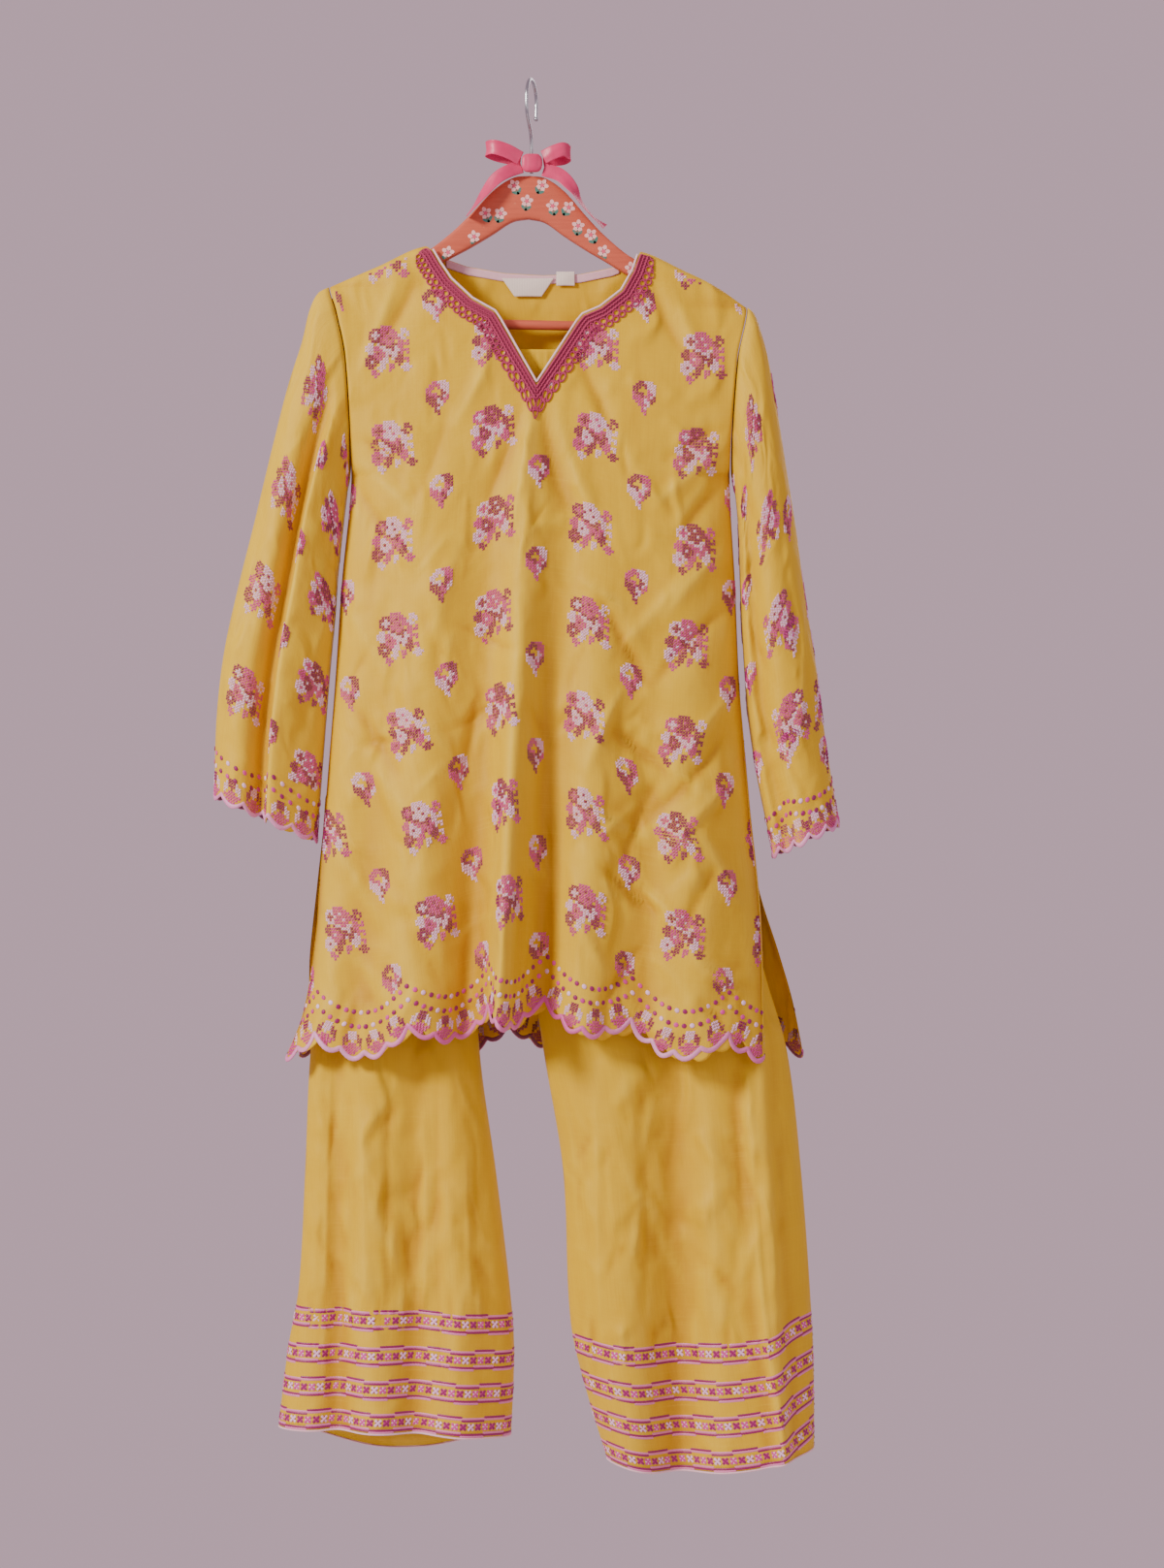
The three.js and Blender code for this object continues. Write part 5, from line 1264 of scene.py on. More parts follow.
for name, cloth in [("front", front_cloth), ("back", back_cloth)]:
    at_hem = cloth.arcs[np.searchsorted(cloth.v, HEM_DROP)]
    scallop_width = np.ptp(at_hem) / SCALLOPS
    centre = (at_hem[0] + at_hem[-1]) / 2
    count = 13 * SCALLOPS // SCALLOPS_PER_WAVE
    dot_s = np.tile(centre + (np.arange(count) + 0.5 - count / 2) * np.ptp(at_hem) / count, 2)
    up = np.repeat(DOT_ROWS, count)
    dot_level = wave_level(dot_s - centre, scallop_width) - up
    thread = DOT_COLOURS[(np.arange(2 * count) + (up < 30) * 2) % 13]
    near_edge = np.abs(dot_s - centre) < np.ptp(at_hem) / 2 - 5
    dots = satin_dots(f"dots_{name}", cloth, dot_s[near_edge], dot_level[near_edge], thread[near_edge])
    dress(dots, pink_thread)
    along = np.linspace(0, 1, SCALLOPS * 18 + 1)
    s = at_hem[0] + np.ptp(at_hem) * along
    edge = satin_edge(f"satin_edge_{name}", cloth, s, hem_level(along * SCALLOPS) - 1.2)
    dress(edge, pink_thread)

for name, cloth in [("left", left_sleeve_cloth), ("right", right_sleeve_cloth)]:
    start, girth = cloth.arcs[-1, 0], np.ptp(cloth.arcs[-1])
    count = 33
    dot_s = np.tile(start + (np.arange(count) + 0.5) * girth / count, 2)
    up = np.repeat((36.0, 24.5), count)
    colours = DOT_COLOURS[np.arange(2 * count) % 13]
    dots = satin_dots(f"dots_sleeve_{name}", cloth, dot_s, cuff_wave(cloth, dot_s) - up, colours)
    dress(dots, pink_thread)
    turn = np.linspace(0, 1, CUFF_SCALLOPS * 16, endpoint=False)
    level = cloth.levels[-1] - 1.2 + 0 * turn
    piece = satin_edge(f"satin_edge_sleeve_{name}", cloth, start + girth * turn, level, True)
    drop = SCALLOP_DEPTH * (np.abs(np.sin(CUFF_SCALLOPS * np.pi * turn)) - 0.5) * MM
    places = np.zeros(len(piece.data.vertices) * 3)
    piece.data.vertices.foreach_get("co", places)
    places = places.reshape(-1, 8, 3)
    places[..., 2] -= drop[:, None]
    piece.data.vertices.foreach_set("co", places.ravel())
    piece.data.update()
    dress(piece, pink_thread)

# ------------------------------------------------------------------ borders of the trousers
# Four stitched bands round each leg above its hem: a row of small crossed flowers between pairs of lines,
# whose two pinks change places at each step, and a pale piping at the hem's edge.

BANDS = (9.5, 40.0, 71.0, 104.0)  # above the hem
FLOWER_STEP = 7.7
LINE_STEP = 2.6
LINE_OFFSETS = (-8.2, -6.2, 6.2, 8.2)
STEP_LENGTH = 23.0
FLOWER_COLOURS = np.array([0, 1, 0, 2, 0, 1, 0, 2, 1, 0, 1, 2])


def band_level(s, up, rise):
    """The level of a band at a length across a panel; on the right leg it rises towards the side seam."""
    return LEG_HEM - up - rise * ease((-s - 60) / 70)


def trouser_border(name, cloth, rise):
    """All four bands of a panel as thread bars: short upright-laid bars for the lines, crossed ones for
    flowers."""
    corners, colours = [], []
    for number, up in enumerate(BANDS):
        row = np.searchsorted(cloth.levels, LEG_HEM - up)
        first, last = cloth.arcs[row, 0] + 1, cloth.arcs[row, -1] - 1
        flower_s = np.arange(first + 3, last - 2, FLOWER_STEP)
        level = band_level(flower_s, up, rise)
        thread = FLOWER_COLOURS[(np.arange(len(flower_s)) + 5 * number) % len(FLOWER_COLOURS)]
        for turn, length, width, lift in [
            (0.78, 8.0, 2.3, 0.05), (-0.78, 8.0, 2.3, 0.3), (0, 5.6, 1.4, 0.1), (1.57, 5.6, 1.4, 0.1),
        ]:
            turns = np.full(len(flower_s), turn)
            corners.append(bars(cloth, flower_s, level, turns, length, width, 0.42, lift))
            colours.append(THREADS[thread if length > 6 else (thread + 1) % 3])
        line_s = np.arange(first, last, LINE_STEP)
        step = np.floor((line_s + 9 * number) / STEP_LENGTH).astype(int)
        for place, offset in enumerate(LINE_OFFSETS):
            shift = np.where(step % 2, 0.7, -0.7)
            level = band_level(line_s, up, rise) + offset + shift
            inner = abs(offset) < 7
            dark = np.where((step % 2 == 0) == inner, 3, 0)
            turns = np.full(len(line_s), 0.12)
            corners.append(bars(cloth, line_s, level, turns, LINE_STEP * 1.25, 1.9, 0.4, 0.05))
            colours.append(THREADS[dark])
    corners = np.concatenate(corners)
    return outward_turned(thread_mesh(name, corners, np.concatenate(colours)), corners)


border_pieces = {}
for key, cloth in leg_cloths.items():
    rise = 12.0 if key == "right_front" else 0.0
    border_pieces[key] = dress(trouser_border(f"border_{key}", cloth, rise), pink_thread)


def cotton_cord(name, ground, shade):
    """Soft cotton cord and crochet thread: fine twisted strands in its colour and its bump."""
    cord = Finish(name)
    place = cord.node("ShaderNodeTexCoord", None, None, 3)
    strands = cord.noise(place, 900.0, 3.0)
    sockets = {
        "Base Color": cord.mix(cord.levels(strands, 0.3, 0.75, 0.0, 0.6), ground, shade),
        "Roughness": cord.levels(strands, 0.3, 0.7, 0.7, 0.9), "Normal": cord.bump(strands, 0.5, 0.0003),
        "Sheen Weight": 0.15,
    }
    return cord.surface(sockets)


pale_cord = cotton_cord("pale_pink_cord", linear(238, 205, 212), linear(222, 170, 184))
for leg_name in ("left", "right"):
    share = (1 - np.cos(np.pi * np.linspace(0, 1, 90))) / 2
    front = leg_cloths[f"{leg_name}_front"].surface(share, LEG_HEM + 0 * share)
    back = leg_cloths[f"{leg_name}_back"].surface(share, LEG_HEM + 0 * share)[::-1]
    path = np.concatenate([front[:-1], back[:-1]])
    path = path - (path - path.mean(0)) * np.array([0.004, 0.004, 0])
    path[:, 2] -= 1.1
    run = np.roll(path, -1, 0) - np.roll(path, 1, 0)
    wide = np.cross(run, (0, 0, 1.0))
    wide /= np.linalg.norm(wide, axis=-1, keepdims=True)
    high = np.broadcast_to((0, 0, 1.0), path.shape)
    cord = tube(path, wide, high, 0.9, 0.9)
    piping = skin(f"hem_piping_{leg_name}_cord", cord, wrap_rows=True, wrap_columns=True)
    dress(piping, pale_cord, [f"hem_piping_{leg_name}"])

# ------------------------------------------------------------------ neck edge: piping and lace
# A pale corded piping edges the front neck. Beside it lies a rose crochet lace: a firm band between two
# cords, then two rows of round loops, sewn flat to the cloth.


def neck_line(table, doubled):
    """The neck edge as corners, each with a mitred direction away from the opening; long stretches are
    halved."""
    points = np.stack([table["x"], table["drop"]], -1)
    if doubled:
        gaps = np.linalg.norm(np.diff(points, axis=0), axis=1)
        middles = ((points[1:] + points[:-1]) / 2)[gaps > 15]
        order = np.argsort(np.concatenate([np.arange(len(points)), np.nonzero(gaps > 15)[0] + 0.5]))
        points = np.concatenate([points, middles])[order]
    units = np.diff(points, axis=0)
    units /= np.linalg.norm(units, axis=1, keepdims=True)
    before = np.concatenate([units[:1], units])
    after = np.concatenate([units, units[-1:]])
    along = before + after
    along /= np.linalg.norm(along, axis=1, keepdims=True)
    away = np.stack([-along[:, 1], along[:, 0]], -1)
    mitre = 1 / np.maximum(-away[:, 0] * before[:, 1] + away[:, 1] * before[:, 0], 0.6)
    return points, away * mitre[:, None]


def on_body(face, x, drop, out):
    """A point on the kurta at a place in x and drop, moved out from the cloth."""
    sides = FRONT_SIDES if face < 0 else BACK_SIDES
    cloth = front_cloth if face < 0 else back_cloth
    left = smooth(sides, "drop", "left", drop)
    u = 2 * (x - left) / (smooth(sides, "drop", "right", drop) - left) - 1
    point = cloth.surface(u, drop + grain_lift(face, u, drop + grain_lift(face, u, drop)))
    point[..., 1] += face * out
    return point


LINE_POINTS, LINE_AWAY = neck_line(NECK, True)
LINE_LENGTHS = np.concatenate([[0], np.cumsum(np.linalg.norm(np.diff(LINE_POINTS, axis=0), axis=1))])


def beside_neck(length, width, out):
    """A point at a length along the neck edge and a width away from it, on the front of the kurta."""
    edge = [np.interp(length, LINE_LENGTHS, LINE_POINTS[:, k]) for k in (0, 1)]
    away = [np.interp(length, LINE_LENGTHS, LINE_AWAY[:, k]) for k in (0, 1)]
    x = np.clip(edge[0] + away[0] * width, -107, 113)
    drop = np.maximum(edge[1] + away[1] * width, smooth(RIDGE, "x", "drop", x) + 4)
    return on_body(-1, x, drop, out)


def cord_beside_neck(width, out, radius, twist=0.0):
    """A cord along the neck at a width from its edge; a twist makes it weave from side to side."""
    length = np.linspace(0, LINE_LENGTHS[-1], 380)
    path = beside_neck(length, width + twist * np.sin(length * 2.1), out + radius * 0.6)
    run = np.gradient(path, axis=0)
    run /= np.linalg.norm(run, axis=-1, keepdims=True)
    high = np.broadcast_to((0, -1.0, 0), path.shape)
    wide = np.cross(run, high)
    wide /= np.linalg.norm(wide, axis=-1, keepdims=True)
    return tube(path, wide, high, radius, radius)


def lace_loops(width, radius, pitch, start):
    """A row of crochet rings beside the neck: each is a round cord laid on the cloth."""
    centres = np.arange(start, LINE_LENGTHS[-1], pitch)
    around = np.linspace(0, 2 * np.pi, 14, endpoint=False)
    section = np.linspace(0, 2 * np.pi, 6, endpoint=False)
    ring_radius = radius + 0.7 * np.cos(section)[None, None, :]
    length = centres[:, None, None] + ring_radius * np.cos(around)[None, :, None]
    wide = width + ring_radius * np.sin(around)[None, :, None]
    height = 0.9 + 0.85 * np.sin(section)[None, None, :]
    return beside_neck(length, wide, np.broadcast_to(height, length.shape))


rose_lace = cotton_cord("rose_crochet_cotton", linear(186, 56, 100), linear(136, 30, 66))
dark_lace = cotton_cord("rose_lace_band", linear(158, 46, 82), linear(122, 28, 60))
lace_along = np.linspace(0, LINE_LENGTHS[-1], 300)[:, None]
lace_across = np.linspace(0.8, 10.4, 13)[None, :]
ribs = 0.35 * np.sin(lace_across * 4.2) * np.sin(lace_along * 3.4)
lace_grid = beside_neck(*np.broadcast_arrays(lace_along, lace_across), 0.9 + ribs)
lace_band = skin("neck_lace_band", lace_grid, outward=(0, -1, 0), wall=0.6)
dress(lace_band, dark_lace, ["neck_lace"])
cords = np.stack([
    cord_beside_neck(2.0, 1.0, 0.75),
    cord_beside_neck(5.2, 1.1, 0.6, 0.5),
    cord_beside_neck(8.6, 1.0, 0.85, 0.4),
])
dress(skin("neck_lace_cords", cords, wrap_columns=True, caps=True), rose_lace)
inner_loops = lace_loops(12.9, 2.7, 6.3, 3.0)
outer_loops = lace_loops(17.4, 2.4, 6.3, 6.15)
rings = np.concatenate([inner_loops, outer_loops])
lace_rings = skin("neck_lace_loops", rings, wrap_rows=True, wrap_columns=True)
dress(lace_rings, rose_lace)

edge_points, edge_away = neck_line(NECK, False)
edge_lengths = np.concatenate([[0], np.cumsum(np.linalg.norm(np.diff(edge_points, axis=0), axis=1))])
along = np.linspace(edge_lengths[1], edge_lengths[-2], 320)
x = np.interp(along, edge_lengths, edge_points[:, 0])
drop = np.interp(along, edge_lengths, edge_points[:, 1])
path = on_body(-1, x, drop, 0.0)
path[:, 0] -= 1.3 * np.interp(along, edge_lengths, edge_away[:, 0])
path[:, 2] += 1.3 * np.interp(along, edge_lengths, edge_away[:, 1])
run = np.gradient(path, axis=0)
run /= np.linalg.norm(run, axis=-1, keepdims=True)
high = np.broadcast_to((0, -1.0, 0), path.shape)
wide = np.cross(run, high)
wide /= np.linalg.norm(wide, axis=-1, keepdims=True)
white_cord = cotton_cord("white_pink_piping", linear(244, 216, 222), linear(226, 186, 198))
piping = skin("neck_piping_cord", tube(path, wide, high, 1.0, 1.0), wrap_columns=True, caps=True)
dress(piping, white_cord, ["neck_piping"])

# ------------------------------------------------------------------ back neck: tape and labels
# A ribbed pink cotton tape binds the back neck inside, sewn down with a row of short stitches. A woven label
# cut as a trapezoid and a small square tab hang from it, both plain.


def woven_tape(name, ground, shade, rib_scale):
    """Ribbed woven tape: fine ribs across it and a little noise in its colour."""
    tape = Finish(name)
    place = tape.node("ShaderNodeTexCoord", None, None, 3)
    parts = tape.node("ShaderNodeSeparateXYZ", None, {0: place})
    ribs = tape.node("ShaderNodeMath", {"operation": "SINE"}, {0: parts * rib_scale})
    noise = tape.noise(place, 500.0, 3.0)
    height = ribs * 0.4 + noise * 0.6
    sockets = {
        "Base Color": tape.mix(tape.levels(height, -0.1, 0.8, 0.0, 0.7), ground, shade),
        "Roughness": tape.levels(noise, 0.3, 0.7, 0.75, 0.9), "Normal": tape.bump(height, 0.4, 0.0002),
    }
    return tape.surface(sockets)


pink_tape = woven_tape("pink_ribbed_tape", linear(240, 196, 206), linear(214, 158, 172), 6000.0)
cream_label = woven_tape("cream_woven_label", linear(240, 228, 214), linear(216, 202, 188), 4200.0)
tape_x = np.linspace(-80, 82, 90)[:, None]
tape_w = np.linspace(0.6, 8.0, 7)[None, :]
tape_drop = np.interp(tape_x, BACK_NECK["x"], BACK_NECK["drop"])
tape_grid = on_body(1, np.broadcast_to(tape_x, (90, 7)), tape_drop + tape_w, -1.6)
back_tape = skin("back_neck_tape_ribbed", tape_grid, outward=(0, -1, 0), wall=0.4)
dress(back_tape, pink_tape, ["back_neck_tape"])


def label_piece(name, left, right, top, height, taper, stands_for):
    """A label's mesh: it narrows by its taper at the lower edge, and bows a little off the cloth behind
    it."""
    across = np.linspace(0, 1, 33)[:, None]
    down = np.linspace(0, 1, 13)[None, :]
    x = lerp(lerp(left, right, across), lerp(left + taper, right - taper, across), down)
    off = 3.1 + 1.1 * np.sin(np.pi * down) * np.sin(np.pi * across) + 0.8 * down
    piece = skin(name, on_body(1, x, top + height * down + 0 * across, -off), outward=(0, -1, 0), wall=0.4)
    return dress(piece, cream_label, stands_for)


label_piece("neck_label_woven", -28, 21, 181, 17, 12, ["neck_label"])
label_piece("size_tab_woven", 23, 40, 175, 13, 0, ["size_tab"])
for name in ("hanging_loop_left", "hanging_loop_right"):
    nodes[name].data.materials.clear()
    nodes[name].data.materials.append(cream_label)

# ------------------------------------------------------------------ hanger
# A flat wooden hanger sawn from one board and painted orange, with small painted flower sprigs on its faces,
# a round bar let into its arms, and a steel wire hook. It hangs a little lower on the right.

HANGER_TILT = np.deg2rad(1.2)
HANGER_HALF = 5.5
ARM = sizes("x upper lower", [
    (0, 88, 128), (15, 90, 131), (33, 102, 143), (54, 125, 156), (72, 143, 166), (96, 161.5, 180),
    (140, 181, 202), (168, 196, 219), (181, 206, 234), (188, 214, 236), (193, 224, 229),
])
BAR_DROP = 226
BAR_RADIUS = 4.5


def tilted(points):
    """Points of the hanger, turned about the hook's bearing point by the hanger's tilt."""
    cos, sin = np.cos(HANGER_TILT), np.sin(HANGER_TILT)
    x, y, z = np.moveaxis(np.asarray(points, float), -1, 0)
    return np.stack([x * cos + z * sin, y, z * cos - x * sin], -1)


def painted_wood(name):
    """Matt orange paint on wood: faint brush marks along the arms, small scuffs and a dull sheen."""
    paint = Finish(name)
    place = paint.node("ShaderNodeTexCoord", None, None, 3)
    brush = paint.noise(paint.stretched(place, (40.0, 300.0, 420.0)), 1.0, 3.0)
    scuffs = paint.noise(place, 160.0, 4.0, 0.7)
    colour = paint.mix(paint.levels(brush, 0.35, 0.7, 0.0, 0.5), linear(206, 100, 72), linear(182, 80, 56))
    colour = paint.mix(paint.levels(scuffs, 0.66, 0.76, 0.0, 0.5), colour, linear(226, 148, 116))
    sockets = {
        "Base Color": colour, "Roughness": paint.levels(brush, 0.3, 0.7, 0.45, 0.62),
        "Normal": paint.bump(brush, 0.25, 0.0004), "Specular IOR Level": 0.4,
    }
    return paint.surface(sockets)


orange_paint = painted_wood("orange_painted_wood")
left_arm = -ARM["x"][-1] * np.sin(np.linspace(np.pi / 2, 0, 90))[:-1]
right_arm = ARM["x"][-1] * np.sin(np.linspace(0, np.pi / 2, 90))
hanger_x = np.concatenate([left_arm, right_arm])
upper = smooth(ARM, "x", "upper", np.abs(hanger_x))
lower = smooth(ARM, "x", "lower", np.abs(hanger_x))
a = np.linspace(0, 2 * np.pi, 40, endpoint=False)
SQUARENESS = 0.36
square_y = np.sign(np.cos(a)) * np.abs(np.cos(a)) ** SQUARENESS
square_z = np.sign(np.sin(a)) * np.abs(np.sin(a)) ** SQUARENESS
tip = np.sqrt(np.clip(1 - (np.clip(np.abs(hanger_x) - 186, 0, 7) / 7.4) ** 2, 0.02, 1))[:, None]
board = np.stack([
    np.broadcast_to(hanger_x[:, None], (len(hanger_x), len(a))),
    HANGER_HALF * square_y * tip,
    -(upper + lower)[:, None] / 2 + (lower - upper)[:, None] / 2 * square_z,
], -1)
hanger_board = skin("hanger_board", tilted(board), wrap_columns=True, caps=True)
dress(hanger_board, orange_paint, ["hanger_body"])
bar_x = np.linspace(-169, 169, 40)
bar_path = tilted(np.stack([bar_x, 0 * bar_x, 0 * bar_x - BAR_DROP], -1))
along_y = np.broadcast_to((0, 1.0, 0), bar_path.shape)
along_z = np.broadcast_to((0, 0, 1.0), bar_path.shape)
bar = tube(bar_path, along_y, along_z, BAR_RADIUS, BAR_RADIUS, 28)
hanger_rod = skin("hanger_rod", bar, wrap_columns=True, caps=True)
dress(hanger_rod, orange_paint, ["hanger_bar"])

SPRIGS = np.array([
    (-2, 112, 0.1), (22, 116, -0.2), (-26, 124, 0.3), (46, 134, 0.1), (-50, 146, -0.2), (70, 157, 0.3),
    (-74, 161, 0.2), (96, 172, -0.2), (-97, 173, 0.1), (122, 184, 0.2), (-122, 183, -0.3), (12, 97, 0.5),
    (-14, 98, -0.5), (148, 198, 0.0), (-148, 197, 0.2), (37, 117, 0.6), (-40, 124, -0.4), (58, 142, -0.5),
])
PAINTS = np.array([linear(250, 196, 190), linear(232, 88, 120), linear(70, 128, 112), linear(250, 222, 150)])


def ovals(centre, half_long, half_short, turn, lift, face):
    """Flat ovals of paint on a face of the hanger: three rings from the middle out, at a turn in the
    plane."""
    a = np.linspace(0, 2 * np.pi, 12, endpoint=False)
    r = np.array([0.04, 0.6, 1.0])[:, None]
    along, aside = r * half_long * np.cos(a), r * half_short * np.sin(a)
    cos, sin = np.cos(turn)[:, None, None], np.sin(turn)[:, None, None]
    x = centre[:, 0, None, None] + along * cos - aside * sin
    drop = centre[:, 1, None, None] + along * sin + aside * cos
    return np.stack([x, np.broadcast_to(face * (HANGER_HALF + lift), x.shape), -drop], -1)


def sprigs(name, face):
    """Painted sprigs: five petals round a centre on a short stem, and two leaves, at each place of the
    table."""
    grids, tints = [], []
    centre, lean = SPRIGS[:, :2], SPRIGS[:, 2]
    count = len(SPRIGS)
    for k in range(5):
        turn = lean + 2 * np.pi * k / 5 - np.pi / 2
        at_petal = centre + 3.2 * np.stack([np.cos(turn), np.sin(turn)], -1)
        grids.append(ovals(at_petal, 2.9, 2.0, turn, 0.06, face))
        tints.append(np.full(count, 0))
    grids.append(ovals(centre, 1.8, 1.8, lean, 0.12, face))
    tints.append(np.full(count, 1))
    foot = centre + 8.0 * np.stack([-np.sin(lean), np.cos(lean)], -1)
    stem = (centre + foot) / 2 + 1.5 * np.stack([-np.sin(lean), np.cos(lean)], -1)
    grids.append(ovals(stem, 3.4, 0.4, lean + np.pi / 2, 0.05, face))
    tints.append(np.full(count, 2))
    for hand in (-1, 1):
        turn = lean - np.pi / 2 + hand * 0.9
        at_leaf = foot + 2.2 * np.stack([np.cos(turn), np.sin(turn)], -1)
        grids.append(ovals(at_leaf, 3.8, 1.5, turn, 0.08, face))
        tints.append(np.full(count, 2))
    grid = np.concatenate(grids)
    x = grid[..., 0]
    low = smooth(ARM, "x", "lower", np.abs(x)) - 1.6
    high = smooth(ARM, "x", "upper", np.abs(x)) + 1.6
    grid[..., 2] = -np.clip(-grid[..., 2], high, low)
    piece = skin(name, tilted(grid), wrap_columns=True, outward=(0, face, 0))
    layer = piece.data.attributes.new("thread", "FLOAT_COLOR", "POINT")
    layer.data.foreach_set("color", np.repeat(PAINTS[np.concatenate(tints)], 36, 0).ravel())
    return piece


sprig_paint = Finish("sprig_paint")
tint = sprig_paint.node("ShaderNodeAttribute", {"attribute_name": "thread"})
place = sprig_paint.node("ShaderNodeTexCoord", None, None, 3)
wear = sprig_paint.noise(place, 500.0, 3.0)
worn = sprig_paint.mix(sprig_paint.levels(wear, 0.55, 0.75, 0.0, 0.5), tint, linear(212, 96, 62))
sprig_paint.surface({"Base Color": worn, "Roughness": 0.5, "Normal": sprig_paint.bump(wear, 0.2, 0.0002)})
for name, face in [("front", -1), ("back", 1)]:
    dress(sprigs(f"hanger_sprigs_{name}", face), sprig_paint.material)

# The hook: polished wire, forward over the rail and down behind it, with a small ball at its end.
WIRE_RADIUS = 1.6
HOOK_TURN = np.deg2rad(-12)
bend = np.pi * (1.05 - 1.12 * np.linspace(0, 1, 11)[1:])
hook_line = np.concatenate([
    [(0, -85.5), (0, -76), (0, -66), (-3, -50), (-15, -37), (-20, -29)],
    np.stack([20.6 * np.cos(bend), -19 + 20.6 * np.sin(bend)], -1), [(19.5, -31)],
])
hook_table = dict(zip(("step", "y", "z"), (np.arange(len(hook_line), dtype=float), *hook_line.T)))
steps = np.linspace(0, len(hook_line) - 1, 150)
hook_y, hook_z = smooth(hook_table, "step", "y", steps), smooth(hook_table, "step", "z", steps)
hook_path = np.stack([-hook_y * np.sin(HOOK_TURN), hook_y * np.cos(HOOK_TURN), hook_z], -1)
run = np.gradient(hook_path, axis=0)
run /= np.linalg.norm(run, axis=-1, keepdims=True)
wide = np.broadcast_to((np.cos(HOOK_TURN), np.sin(HOOK_TURN), 0), hook_path.shape)
wire = tube(hook_path, wide, np.cross(run, wide), WIRE_RADIUS, WIRE_RADIUS, 14)
hook_wire = skin("hook_wire", wire, wrap_columns=True, caps=True)
steel = Finish("polished_steel_wire")
place = steel.node("ShaderNodeTexCoord", None, None, 3)
drawn = steel.noise(steel.stretched(place, (900.0, 900.0, 60.0)), 1.0, 2.0)
steel_paint = steel.surface({
    "Base Color": steel.mix(steel.levels(drawn, 0.3, 0.7), linear(186, 192, 196), linear(168, 174, 180)),
    "Metallic": 1.0, "Roughness": steel.levels(drawn, 0.3, 0.7, 0.24, 0.3),
})
dress(hook_wire, steel_paint, ["hook"])
ball_turn = np.linspace(0, 2 * np.pi, 20, endpoint=False)
ball_rise = np.linspace(0.05, np.pi - 0.05, 11)[:, None]
ball = np.stack([
    np.sin(ball_rise) * np.cos(ball_turn),
    np.sin(ball_rise) * np.sin(ball_turn),
    np.cos(ball_rise) + 0 * ball_turn,
], -1)
hook_ball = skin("hook_ball", hook_path[-1] + 2.3 * ball, wrap_columns=True, caps=True)
dress(hook_ball, steel_paint)

# ------------------------------------------------------------------ ribbon bow
# Pink satin ribbon tied round the hook's foot in a bow: a knot, two flattened loops, and two tails that fall
# over the hanger's shoulders and turn on edge.

RIBBON_WIDTH = 13
TAIL_WIDTH = 12
satin = Finish("pink_satin_ribbon")
place = satin.node("ShaderNodeTexCoord", None, None, 3)
fine = satin.noise(satin.stretched(place, (1500.0, 1500.0, 200.0)), 1.0, 2.0)
soft = satin.noise(place, 60.0, 2.0)
satin_colour = satin.mix(satin.levels(soft, 0.35, 0.7, 0.0, 0.5), linear(226, 58, 112), linear(184, 32, 82))
pink_satin = satin.surface({
    "Base Color": satin_colour, "Roughness": satin.levels(fine, 0.3, 0.7, 0.34, 0.46),
    "Normal": satin.bump(fine, 0.15, 0.0001), "Sheen Weight": 0.1, "Specular IOR Level": 0.5,
})


def ribbon(name, path, width, stands_for):
    """A ribbon along a smooth path of x, y, drop and turn: its width stands upright and is swung about its
    run by the turn, and it curls a little across."""
    line = np.array(path, float)
    table = dict(zip(("step", "x", "y", "drop", "turn"), (np.arange(len(line), dtype=float), *line.T)))
    steps = np.linspace(0, len(line) - 1, 80)
    centre = np.stack([
        smooth(table, "step", "x", steps),
        smooth(table, "step", "y", steps),
        -smooth(table, "step", "drop", steps),
    ], -1)
    run = np.gradient(centre, axis=0)
    run /= np.linalg.norm(run, axis=-1, keepdims=True)
    upright = np.array([0, 0, 1.0]) - run * run[:, 2:]
    upright /= np.linalg.norm(upright, axis=-1, keepdims=True)
    turn = smooth(table, "step", "turn", steps)[:, None]
    across = upright * np.cos(turn) + np.cross(run, upright) * np.sin(turn)
    face = np.cross(run, across)
    v = np.linspace(-1, 1, 15)[None, :, None]
    curl = 0.6 * (v**2 - 0.4) + 0.1 * np.sin(5 * v + steps[:, None, None] * 2)
    grid = centre[:, None] + across[:, None] * v * width / 2 + face[:, None] * curl
    piece = skin(name, grid, outward=(0, -1, 0), wall=0.35)
    return dress(piece, pink_satin, stands_for)


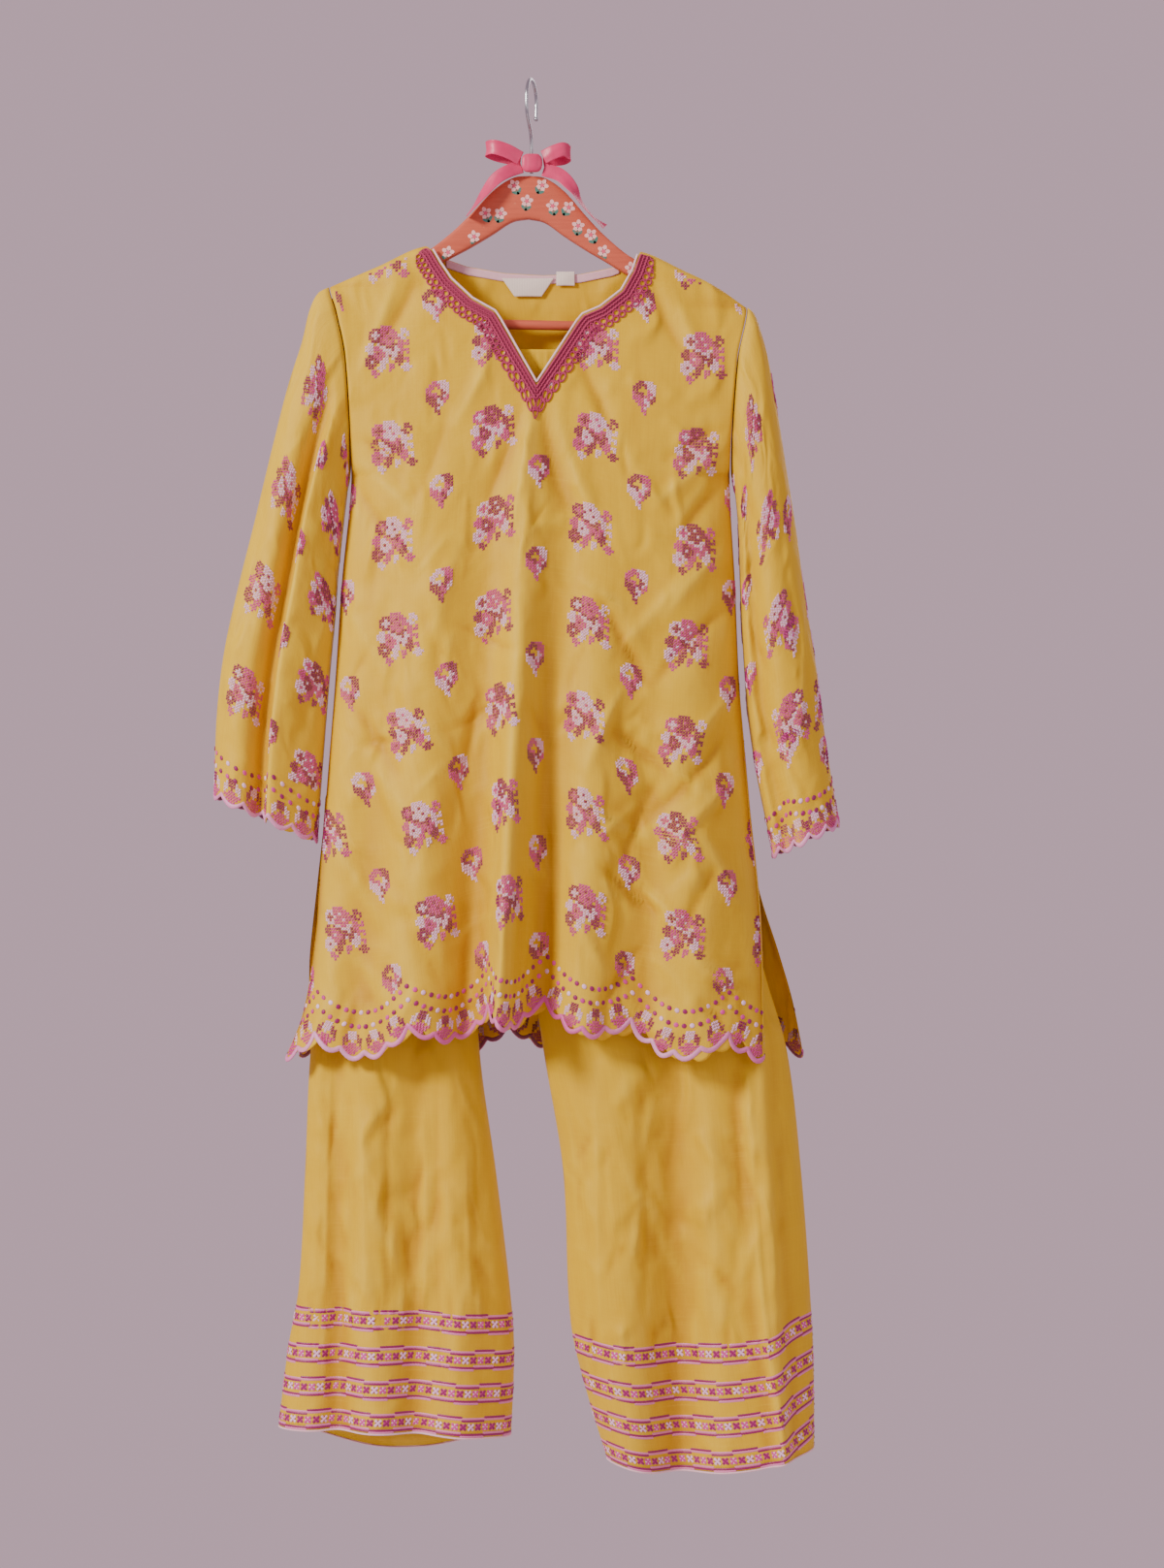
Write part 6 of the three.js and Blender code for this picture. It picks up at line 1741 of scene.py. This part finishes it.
bow_left = ribbon("bow_left_satin", [
    (-9.5, -8, 73, 0), (-22, -5, 71, 0), (-34, -4, 68, 0), (-42, -10, 65, 0), (-35, -17, 64, 0),
    (-22, -17.5, 68, 0), (-9.8, -14, 74, 0),
], RIBBON_WIDTH, ["bow_loop_left"])
bow_right = ribbon("bow_right_satin", [
    (10.8, -8, 74, 0), (20, -5, 73, 0), (30, -5, 72, 0), (36, -10, 69, 0), (30, -16, 66, 0),
    (20, -16.5, 69, 0), (11, -14, 73, 0),
], RIBBON_WIDTH, ["bow_loop_right"])
tail_left = ribbon("tail_left_satin", [
    (-9, -11, 81, 0), (-22, -13, 86, 0), (-33, -14, 93, 0.3), (-44, -14, 106, 0.8), (-53, -13.5, 118, 1.2),
    (-60, -13, 127, 1.35),
], TAIL_WIDTH, ["ribbon_tail_left"])
tail_right = ribbon("tail_right_satin", [
    (11, -11, 84, 0), (26, -13, 89, 0), (38, -14, 101, -0.6), (46, -13.5, 115, -1.2), (57, -13.5, 128, -1.35),
    (68, -13, 137, -1),
], TAIL_WIDTH, ["ribbon_tail_right"])
around = np.linspace(0, 2 * np.pi, 48, endpoint=False)[None, :]
rise = np.linspace(0.04, np.pi - 0.04, 25)[:, None]
pleat = 1 + 0.06 * np.sin(7 * np.cos(around) * np.sin(rise) + 1.0) * np.sin(rise)
knot_x = 9.0 * np.sign(np.cos(around)) * np.abs(np.cos(around)) ** 0.6 * np.sin(rise) ** 0.35 * pleat
knot_y = 4.0 * np.sign(np.sin(around)) * np.abs(np.sin(around)) ** 0.8 * np.sin(rise) ** 0.5 * pleat
knot_z = 8.4 * np.sign(np.cos(rise)) * np.abs(np.cos(rise)) ** 0.75 + 0 * around
knot = np.stack(np.broadcast_arrays(0.6 + knot_x, -12.5 + knot_y, -78 + knot_z), -1)
bow_knot = skin("bow_knot_satin", knot, wrap_columns=True, caps=True)
dress(bow_knot, pink_satin, ["bow_knot"])

# ------------------------------------------------------------------ areas of the trouser panels, and the box round the pieces
# An area in square metres is set for each trouser panel and not used after it; then the box that holds
# every shown piece but the floor is measured.

for key, piece in leg_pieces.items():
    area = 0.225 if "right" in key else 0.18

low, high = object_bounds()
